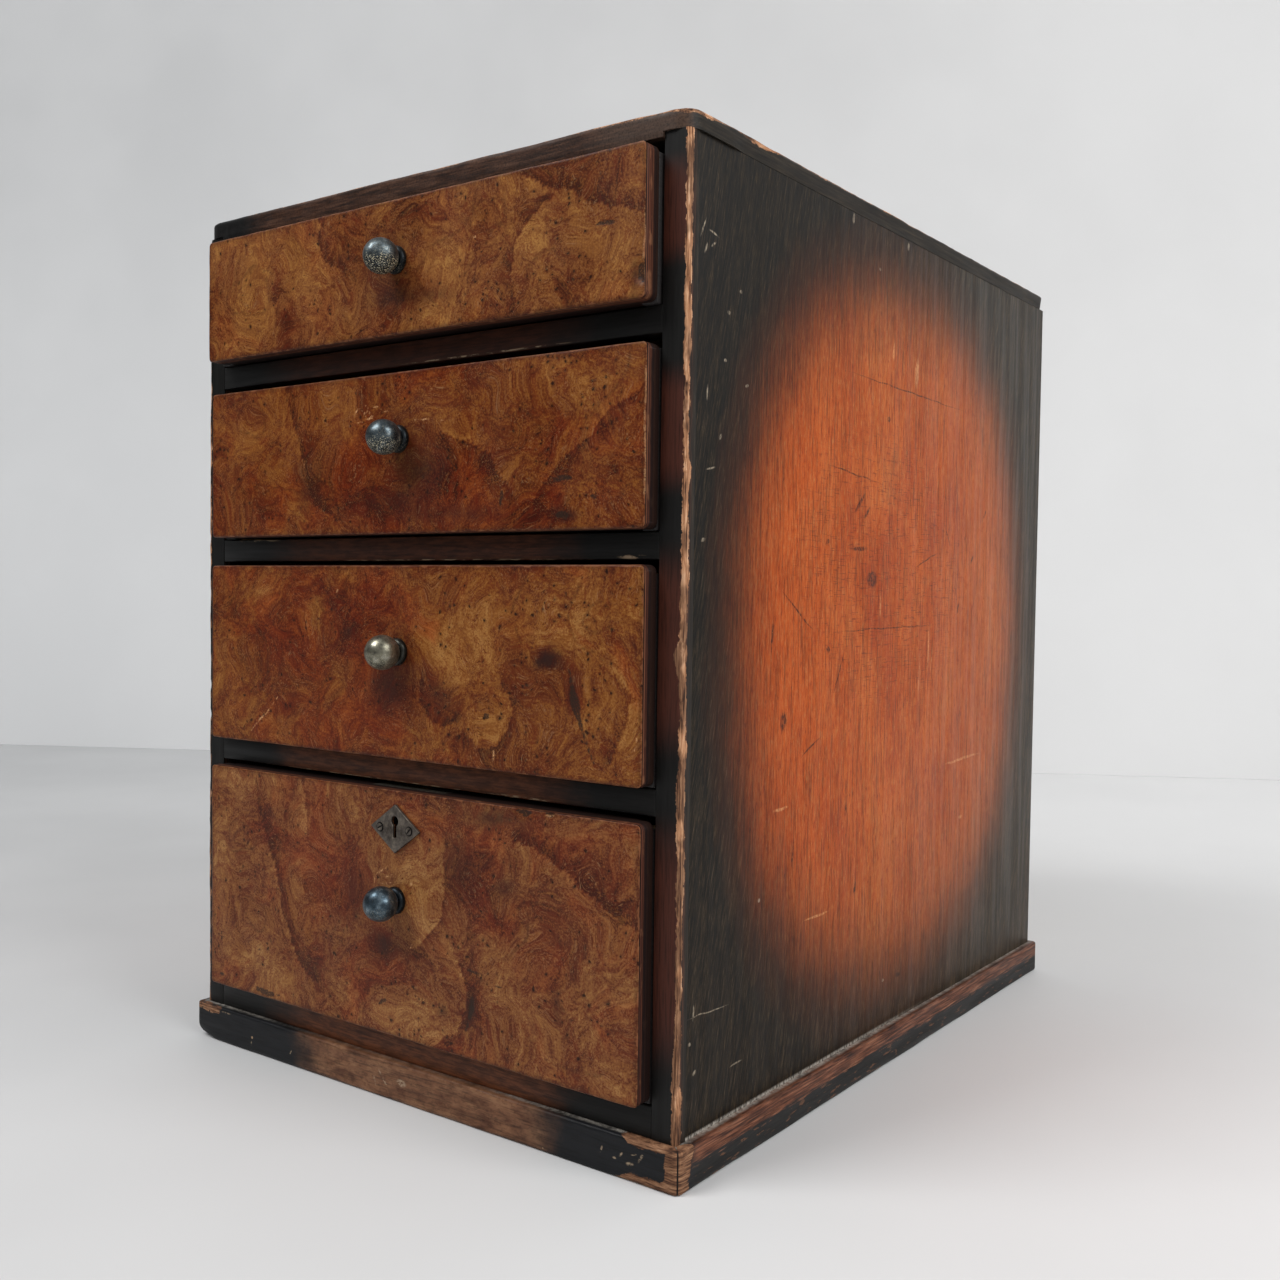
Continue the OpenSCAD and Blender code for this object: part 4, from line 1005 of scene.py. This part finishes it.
def strokeDistance(flat, strokes):      # mm to the nearest stroke's edge, at most 60, and the side it is on
    nearest, side = np.full(len(flat), 60.0), np.zeros(len(flat))
    for stroke in strokes:
        path = smoothPath(stroke)
        for a, b in zip(path[:-1], path[1:]):
            along, offset = (b - a)[:2], flat - a[:2]
            part = np.clip(offset @ along / max(along @ along, 1e-9), 0, 1)
            distance = np.linalg.norm(offset - part[:, None] * along, axis=1)
            if len(a) == 3:         # the third number is the stroke's half width there
                distance = distance - a[2] - part * (b[2] - a[2])
            closer = distance < nearest
            cross = along[0] * offset[:, 1] - along[1] * offset[:, 0]
            nearest, side = np.where(closer, distance, nearest), np.where(closer, np.sign(cross), side)
    return nearest, side


def blobs(flat, spots):     # soft round patches: (x, z, half width, half height, strength)
    total = np.zeros(len(flat))
    for x, z, halfX, halfZ, strength in spots:
        total += strength * np.exp(-((flat[:, 0] - x) / halfX) ** 2 - ((flat[:, 1] - z) / halfZ) ** 2)
    return total


# What marks each leaf of veneer, in mm: strokes as points (x, z) or (x, z, half width), patches as
# (x, z, half width, half height, strength). A seam is a figure line that is dark on its left-hand side.
# The tone and stain patches just below each knob are partly grime and partly painted shadow of the knob.
leaves = {
    1: {"cut": (610, 130), "redness": 0.35,
        "tones": ("#3c180a", "#613015", "#774622", "#8a572a", "#aa783e"),
        "seams": [[(70, 368), (89, 361), (109, 352.6), (124, 347.6)],
                  [(-49, 370), (-47, 362), (-42, 352.6), (-34, 348)],
                  [(65, 324), (63, 337), (66, 350), (75, 358), (83, 360)]],
        "figure": [ringPath(50, 358.5, 8), ringPath(-95, 345, 13, 2), ringPath(-95, 345, 6, 3),
                   [(-80, 352), (-93, 357), (-106, 350)], [(36, 343), (43, 341), (50, 344)],
                   [(45, 371), (42, 361), (32, 354), (18, 349), (12, 339), (21, 327), (29, 320)],
                   [(88, 335), (80, 340), (70, 336)]],
        "crack": [[(103, 346.8, 0.1), (107, 347, 0.5), (111, 346.4, 0.1)]],
        "scrape": [[(124, 325), (124, 350)], [(42, 350.4), (44, 351)]],
        "tone": [(103, 366, 22, 8, 0.7), (-36, 362, 12, 10, 1.0), (-76, 346, 3, 9, 2.2),
                 (-68, 332, 4, 9, 2.4), (2, 334, 18, 5, 1.5), (-118, 330, 12, 14, 0.5),
                 (60, 345, 30, 16, -0.7), (-60, 350, 14, 14, -0.6), (-95, 338, 12, 12, -0.6),
                 (100, 340, 18, 12, -0.8), (90, 328, 6, 4, 1.6), (20, 364, 18, 6, 0.6),
                 (18, 347, 16, 6, -1.2), (100, 348, 28, 20, -0.8)],
        "knots": [(84, 345, 1.5, 1.5, 2), (89, 338, 1.5, 1.5, 2), (50, 329, 8, 5, 1.4),
                  (78, 332, 9, 3, 1.4), (33, 329, 3, 2, 1.6), (-60, 333, 2, 2, 1.6),
                  (-49, 337.6, 2, 2, 2.2), (50, 358.6, 3, 2, 2.2), (24, 368, 18, 4, 0.8),
                  (90, 328, 5, 4, 1.2)],
        "stainsAndKnobShadows": [(0, 333, 15, 4, 0.4), (22, 331, 9, 3, 0.3), (120, 327, 2, 6, 0.5),
                   (-5, 346, 12, 10, 0.25)],
        "chips": [(123.2, 327, 3.2, 4.6)]},
    2: {"cut": (240, 410), "redness": 0.8,
        "tones": ("#361206", "#5a260d", "#6d3817", "#804a1d", "#9e6830"),
        "seams": [[(-72, 302), (-68, 290), (-62, 276), (-58.6, 266), (-53, 254), (-45, 247), (-36, 243)],
                  [(59, 256), (46, 270), (25, 276)], [(124, 290), (104, 276), (82, 260), (72, 247)]],
        "figure": [ringPath(8, 266, 9), ringPath(-96, 290, 9, 2), [(-89, 257), (-75, 258), (-60, 257)],
                   [(-68, 302), (-64, 290), (-58, 278)], [(-104, 242), (-98, 256), (-88, 262)],
                   [(118, 302), (112, 290), (100, 279)]],
        "crack": [[(55.6, 254.5, 0.1), (56, 251, 0.6), (55.4, 247, 0.1)],
                  [(82, 256.4, 0.2), (86, 256.8, 0.7), (91, 256.6, 0.1)],
                  [(84, 243.2, 0.6), (88, 242.8, 1.2)], [(100, 250, 0.3), (102, 249.6, 0.3)]],
        "scrape": [[(-28, 286), (-24, 290), (-20, 286)], [(-20, 288), (-14, 290), (-8, 287), (-5, 289)],
                   [(-25, 284), (-15, 286)], [(-60, 270), (-59.4, 267.6)], [(-20, 291), (-16, 285)],
                   [(124, 250), (124, 295)], [(8, 283), (30, 282)]],
        "tone": [(23, 257, 12, 8, 2.4), (-12, 250, 18, 8, 2.0), (-40, 262, 18, 16, 1.3),
                 (48, 262, 14, 8, 1.0), (8, 266, 8, 7, -1.6), (85, 292, 34, 10, -1.5),
                 (110, 262, 12, 10, -1.2), (-100, 275, 22, 20, -0.5), (-62, 250, 10, 6, -1.1),
                 (-110, 300, 14, 8, 0.9), (60, 244, 24, 5, 1.0), (86, 243, 6, 4, 1.8),
                 (-28, 280, 16, 12, -0.3), (104, 285, 24, 20, -0.1), (-70, 290, 60, 14, -0.7),
                 (20, 248, 70, 12, 0.6)],
        "knots": [(95, 288, 26, 12, 0.5), (24, 256, 12, 6, 0.8), (102, 272, 5, 5, 1.2),
                  (-90, 246, 4, 3, 1.4), (86, 257, 6, 3, 0.8), (66, 272, 6, 3, 1.2)],
        "stainsAndKnobShadows": [(16, 262, 12, 7, 0.4), (88, 243, 7, 3, 0.6), (-58, 256, 6, 10, 0.3),
                   (-5, 251, 22, 6, 0.3), (30, 244, 30, 4, 0.3), (4, 270, 12, 11, 0.3)],
        "chips": []},
    3: {"cut": (60, 250), "redness": 0.85,
        "tones": ("#3a160a", "#5e2a0f", "#703d1a", "#844f20", "#a2703a"),
        "seams": [[(109, 153), (117, 166), (119, 178), (112, 184)],
                  [(14, 180), (14, 168), (24, 160), (33, 163)],
                  [(58, 178), (62, 168), (58, 158), (48, 154), (40, 158)]],
        "figure": [ringPath(24, 172, 5, 2), ringPath(-45, 208, 5, 3),
                   [(-30, 222), (-38, 205), (-36, 188), (-48, 170), (-50, 152)],
                   [(70, 222), (64, 208), (68, 196)], [(96, 218), (90, 206), (96, 196), (108, 190)],
                   ringPath(-95, 175, 9, 4), ringPath(104, 206, 6, 5)],
        "crack": [[(90.5, 186, 0.1), (92, 180, 0.5), (93.6, 173.5, 1.9), (96, 167, 0.6), (99, 160, 0.3),
                   (103, 151.5, 0.1)], [(49, 166, 0.7), (50, 166, 0.7)]],
        "scrape": [[(-95, 150), (-85, 158), (-77, 166)], [(51, 150), (51.6, 153)],
                   [(53, 149), (53.4, 152.6)], [(-38, 212), (-37, 214)], [(121, 158), (122, 163)]],
        "tone": [(-64, 214, 14, 7, 1.6), (-12, 208, 14, 12, 1.6), (-55, 190, 30, 14, 0.9),
                 (-8, 168, 14, 14, 1.9), (24, 172, 9, 8, 1.8), (82, 190, 8, 5, 1.8),
                 (80, 160, 34, 12, -1.4), (30, 190, 16, 16, -1.2), (52, 168, 9, 8, -0.8),
                 (-95, 212, 16, 5, -1.0), (-90, 170, 22, 16, -0.5), (108, 176, 8, 12, -0.6),
                 (-32, 195, 4, 3, 1.8), (-96, 194, 6, 4, 1.0), (60, 210, 26, 10, -0.3),
                 (-30, 160, 24, 10, 0.8), (80, 185, 50, 40, -1.0), (-65, 190, 55, 40, 0.8),
                 (78, 189.4, 5, 3.2, 2.6), (92, 176, 4, 7, 1.6)],
        "knots": [(24, 172, 5, 4, 1.4), (52, 168, 8, 6, 1.0), (68, 178, 5, 3, 1.6), (-96, 166, 14, 8, 0.7),
                  (104, 175, 6, 10, 0.9), (74, 153, 10, 4, 0.8), (80, 212, 30, 8, 0.5)],
        "stainsAndKnobShadows": [(82, 189.5, 6, 3.5, 0.8), (75, 187, 3, 2.4, 0.6), (92.5, 177, 2.6, 8, 0.5),
                   (-30, 196, 4, 3, 0.4), (-6, 172, 12, 9, 0.45), (24, 172, 6, 6, 0.3),
                   (0, 184, 11, 11, 0.3)],
        "chips": []},
    4: {"cut": (470, 720), "redness": 0.75,
        "tones": ("#3a180e", "#5e2e19", "#734426", "#86562f", "#a47848"),
        "seams": [[(-87, 112), (-80, 92), (-74, 78), (-70, 64), (-62, 50), (-54, 44)],
                  [(28, 112), (27, 95), (23, 80), (13, 70)], [(68, 118), (75, 116), (95, 107), (123, 93)],
                  [(-60, 129), (-56, 120), (-55, 109)], [(36, 66), (41, 54), (36, 40), (25, 32)]],
        "figure": [[(-68, 62), (-60, 50), (-45, 48), (-32, 52)], ringPath(-102, 100, 9),
                   ringPath(-102, 100, 4.5, 2), [(-92, 128), (-88, 118), (-88, 108)],
                   [(72, 47), (81, 38), (98, 36), (111, 41)], [(60, 72), (72, 84), (70, 96)],
                   ringPath(-92, 66, 8, 3), [(84, 62), (92, 55), (88, 46)],
                   [(-30, 122), (-38, 112), (-34, 102)]],
        "crack": [[(43.4, 54.5, 0.3), (43, 50, 0.9), (41.6, 44, 0.3), (40.4, 40, 0.4)],
                  [(41, 64.4, 0.1), (44, 64, 0.4), (47, 63.4, 0.1)], [(54, 61.6), (59, 60.6)],
                  [(-90, 32, 0.6), (-84, 31.6, 0.9), (-79, 32, 0.5)], [(-77, 32), (-74.6, 32)],
                  [(-117, 34, 0.5), (-115, 34, 0.5)], [(-10, 41, 0.2), (-6, 43, 0.3)]],
        "scrape": [[(-14, 91), (-11, 96), (-6, 99)], [(-12, 91), (-10, 94)], [(-9, 92), (-3, 93)],
                   [(-13, 94), (-8, 98)], [(-6, 95), (-1, 97)], [(8, 95), (10, 92), (11, 90)],
                   [(9, 94.6), (12, 91)], [(8.4, 68), (9.6, 69.6)], [(80, 130.6), (84, 130.6)]],
        "tone": [(-6, 66, 9, 7, 2.2), (-43, 86, 22, 22, 1.2), (44, 96, 15, 18, 1.7), (10, 88, 16, 22, -1.6),
                 (20, 44, 14, 8, -1.0), (-105, 92, 14, 30, -0.9), (-82, 48, 16, 12, -0.6),
                 (100, 112, 24, 10, 0.8), (56, 86, 6, 4, 1.6), (90, 52, 30, 16, -0.6),
                 (-20, 116, 16, 10, -0.7), (5, 56, 22, 6, 1.2), (-45, 122, 10, 8, 0.8),
                 (-70, 118, 10, 12, 0.8), (66, 62, 12, 8, 0.5), (-95, 60, 40, 30, -0.6),
                 (40, 60, 60, 24, -0.5), (-40, 100, 30, 22, 0.7)],
        "knots": [(8, 49, 5, 4, 1.4), (26.5, 48, 3, 1.5, 2), (86, 60, 10, 6, 0.8), (109, 55, 4, 4, 1.2),
                  (68, 93, 5, 5, 1.2), (60, 120, 4, 3, 1), (17, 34, 3, 3, 2), (-28, 32, 4, 2, 1.6),
                  (66, 122, 12, 5, 0.6), (46, 80, 12, 8, 0.6)],
        "stainsAndKnobShadows": [(-8, 66, 9, 6, 0.55), (43, 49, 2, 7, 0.6), (60, 100, 5, 4, 0.4), (56, 127, 16, 4, 0.5),
                   (-20, 84, 12, 14, 0.3), (38, 104, 10, 10, 0.3), (86, 60, 2, 6, 0.3),
                   (26, 46, 3, 2, 0.4)],
        "chips": [(69, 130.5, 5, 1.8), (82, 131, 3, 1.2)]},
}
faceValues = {"corner": 1.9, "arris": (0.5, 1.1), "nicks": 0.25, "grid": 1.15, "waves": 0.05, "seed": 61,
              "edge": (0, 0.25, 0.6, 1.0, 1.5, 2.1, 3.0), "layers": (0, 0.33, 0.66), "chipDepth": 0.75,
              "bore": 4.4, "keyRound": 4.2, "keySlot": 2.0, "keyDrop": 7.0, "keyRise": 3.2,
              "apart": 900}     # mm from one leaf to the next in the noise, so that they differ


def cylinderAlongY(name, z, diameter, y0, y1, sides=32):
    turn = np.arange(sides) * 2 * math.pi / sides
    radius = diameter / 2
    ring = np.column_stack([radius * np.cos(turn), np.zeros(sides), z + radius * np.sin(turn)])
    around = [(i, (i + 1) % sides) for i in range(sides)]
    faces = [(i, i + sides, j + sides, j) for i, j in around]
    faces += [range(sides), range(2 * sides - 1, sides - 1, -1)]
    return meshFrom(name, np.concatenate([ring + (0, y0, 0), ring + (0, y1, 0)]), faces)


def makeVeneer(n, material):
    leaf, values = leaves[n], faceValues
    low, high = boxOf(f"drawer_{n}_veneer")
    piece = meshFrom(f"veneer{n}", *gridBox([gridLines(low[0], high[0], values["edge"], values["grid"]),
                                             (*(low[1] + np.array(values["layers"])), high[1]),
                                             gridLines(low[2], high[2], values["edge"], values["grid"])]))
    through = (low[1] - 1, high[1] + 1)
    knobZ = sum(boxOf(f"drawer_{n}_knob"))[2] / 2
    joinBy(piece, cylinderAlongY("bore", knobZ, values["bore"], *through), "DIFFERENCE")
    if n == 4:
        keyZ = sum(boxOf("escutcheon"))[2] / 2 + values["keyRise"]
        half = values["keySlot"] / 2
        slot = meshFrom("slot", *gridBox([(-half, half), through, (keyZ - values["keyDrop"], keyZ)]))
        joinBy(piece, cylinderAlongY("keyRound", keyZ, values["keyRound"], *through), "DIFFERENCE")
        joinBy(piece, slot, "DIFFERENCE")
    points = pointsOf(piece)
    flat, depth, out = rounded(points[:, [0, 2]], low[[0, 2]], high[[0, 2]], values["corner"])
    behind = points[:, 1] - low[1]
    spread = points + (0, 0, values["apart"] * n)

    def uneven(size, number):
        return smoothNoise(spread, size, values["seed"] + number)

    radius = worn(spread, 22, values["seed"], *values["arris"]) + values["nicks"] * uneven(5, 1)
    inward, back = rolledArris(depth, behind, radius)
    flat = flat - out * inward[:, None]
    face = np.clip(1 - behind / 0.3, 0, 1)
    dents = values["waves"] * (uneven(24, 2) + 0.5 * uneven(6, 3) - 1.5) * face
    chip = np.zeros(len(points))
    for x, z, halfX, halfZ in leaf["chips"]:
        reach = np.hypot((flat[:, 0] - x) / halfX, (flat[:, 1] - z) / halfZ) + 0.3 * uneven(2, 4)
        chip = np.maximum(chip, np.clip((1 - reach) / 0.25, 0, 1))
    shift = np.maximum(back, chip * values["chipDepth"] * face) - dents * (1 - chip)
    movePoints(piece, np.column_stack([flat[:, 0], np.minimum(points[:, 1] + shift, high[1]), flat[:, 1]]))

    bent = flat + 1.6 * np.column_stack([uneven(9, 5), uneven(9, 6)])
    bent += 0.6 * np.column_stack([uneven(3, 7), uneven(3, 8)])
    straighter = flat * 0.7 + bent * 0.3
    seamDistance, seamSide = strokeDistance(bent, leaf["seams"])
    seam = np.where(seamSide > 0, np.exp(-seamDistance / 5.5), -0.35 * np.exp(-seamDistance / 2.0))
    figure, _ = strokeDistance(bent, leaf["figure"])
    crack, _ = strokeDistance(straighter, leaf["crack"])
    scrape, _ = strokeDistance(straighter, leaf["scrape"])
    paint(piece, figure=figure, seam=seam, crack=np.where(chip > 0.3, 0.0, crack), scrape=scrape,
          tone=blobs(bent, leaf["tone"]), knots=blobs(bent, leaf["knots"]), edge=depth,
          stain=np.clip(1.5 * blobs(bent, leaf["stainsAndKnobShadows"]), 0, 0.9))
    dress(piece, material, f"drawer_{n}_veneer")


def makeKnob(n, material):
    values = {"collar": 11.4, "collarDepth": 2.8, "roll": 1.8, "ease": 0.25, "sides": 72, "rollRings": 6,
              "ballRings": 30, "dent": 0.05, "lumps": ((5, 71), (1.8, 72)),       # size and seed of the dents
              "apart": 300,     # mm from one knob to the next in the noise, so that they differ
              "warm": {1: 0.15, 2: 0.1, 3: 0.85, 4: 0.0}, "pitted": {1: 1.0, 2: 0.8, 3: 0.3, 4: 0.2}}
    low, high = boxOf(f"drawer_{n}_knob")
    ball = (high[0] - low[0]) / 2
    middle = high[1] - low[1] - ball            # from the drawer's face to the ball's middle
    collar, depth, roll, ease = values["collar"] / 2, values["collarDepth"], values["roll"], values["ease"]
    profile = [(collar - ease, 0), (collar, ease), (collar, depth - roll)]  # (radius, reach from the drawer)
    for a in np.radians(np.linspace(15, 90, values["rollRings"])):
        profile.append((collar - roll + roll * math.cos(a), depth - roll + roll * math.sin(a)))
    start = math.asin((collar - roll - ease) / ball)
    for a in np.linspace(math.pi - start, 0, values["ballRings"] + 1)[:-1]:
        reach = middle + ball * math.cos(a)
        if reach > depth + 0.08:
            profile.append((ball * math.sin(a), reach))
    sides = values["sides"]
    turn = np.arange(sides) * 2 * math.pi / sides
    z0 = (low[2] + high[2]) / 2
    rings = [np.column_stack([r * np.cos(turn), np.full(sides, high[1] - reach), z0 + r * np.sin(turn)])
             for r, reach in profile]
    points = np.concatenate(rings + [[(0, high[1], z0)], [(0, low[1], z0)]])
    last, back, tip = (len(rings) - 1) * sides, len(points) - 2, len(points) - 1
    around = [(i, (i + 1) % sides) for i in range(sides)]
    faces = [(a + i, a + j, a + j + sides, a + i + sides) for a in range(0, last, sides) for i, j in around]
    for i, j in around:
        faces += [(back, j, i), (tip, last + i, last + j)]
    centre = np.array([0, high[1] - middle, z0])
    way = points - centre
    spread = points + (0, 0, values["apart"] * n)
    large, small = (np.abs(smoothNoise(spread, size, seed)) for size, seed in values["lumps"])
    isBall = np.clip((high[1] - points[:, 1] - depth) / 1.0, 0, 1)
    dent = values["dent"] * isBall * (large + 0.6 * small)
    piece = meshFrom(f"knob{n}", centre + way * (1 - dent / np.linalg.norm(way, axis=1))[:, None], faces)
    paint(piece, low=-way[:, 2] / ball, collar=1 - isBall, warm=np.full(len(points), values["warm"][n]),
          pitted=np.full(len(points), values["pitted"][n]))
    dress(piece, material, f"drawer_{n}_knob", smooth=50)


def makeDrawers():
    values = {"easedFront": 0.4, "easedBoard": 0.5, "easedBottom": 0.2, "easedKnobScrew": 0.2,
              "easedLock": 0.3, "easedPlate": 0.25, "easedPlateScrew": 0.12,
              "slotAngles": {-1: 28, 1: 45}}        # degrees that the left and right screw's slot rises
    core = edgeGlued("frontCore")
    sides = roughWood("drawerPine", ("#96714a", "#bb966a", "#d3b48a"), (1.4, 26, 1.4), shadedFront=True)
    backs = roughWood("drawerBackPine", ("#8f6b45", "#b59064", "#ceaf85"), (26, 1.4, 1.4))
    bottoms = roughWood("drawerPly", ("#9c7850", "#c09c70", "#d6b88f"), (1.4, 30, 1.4))
    pewter = agedPewter("agedPewter")
    iron = darkMetal("screwIron", ("#3a332c", "#6d655a", "#948b7d"), 0.45)
    for n, leaf in leaves.items():
        makeVeneer(n, burlVeneer(f"burlVeneer{n}", leaf["cut"], leaf["tones"], leaf["redness"]))
        easedCopy(f"drawer_{n}_front", values["easedFront"], core)
        for part, wood in (("side_left", sides), ("side_right", sides), ("back", backs)):
            easedCopy(f"drawer_{n}_{part}", values["easedBoard"], wood)
        easedCopy(f"drawer_{n}_bottom", values["easedBottom"], bottoms)
        makeKnob(n, pewter)
        easedCopy(f"drawer_{n}_knob_screw", values["easedKnobScrew"], iron)
    steel = darkMetal("lockSteel", ("#4a463f", "#7a756b", "#9a958a"), 0.42)
    brass = darkMetal("lockBrass", ("#6e5526", "#a4854a", "#c2a566"), 0.35)
    plate = escutcheonMetal("escutcheonMetal")
    easedCopy("lock_case", values["easedLock"], steel)
    easedCopy("lock_bolt", values["easedLock"], brass)
    easedCopy("escutcheon", values["easedPlate"], plate)
    screws = easedCopy("escutcheon_screws", values["easedPlateScrew"], plate)
    points = pointsOf(screws)
    for side, angle in values["slotAngles"].items():
        on = points[:, 0] * side > 0
        middle = (points[on].min(axis=0) + points[on].max(axis=0)) / 2
        turn = np.array(Matrix.Rotation(math.radians(90 - angle), 3, "Y"))
        points[on] = middle + (points[on] - middle) @ turn.T
    movePoints(screws, points)


makeDrawers()
print("drawers ready")
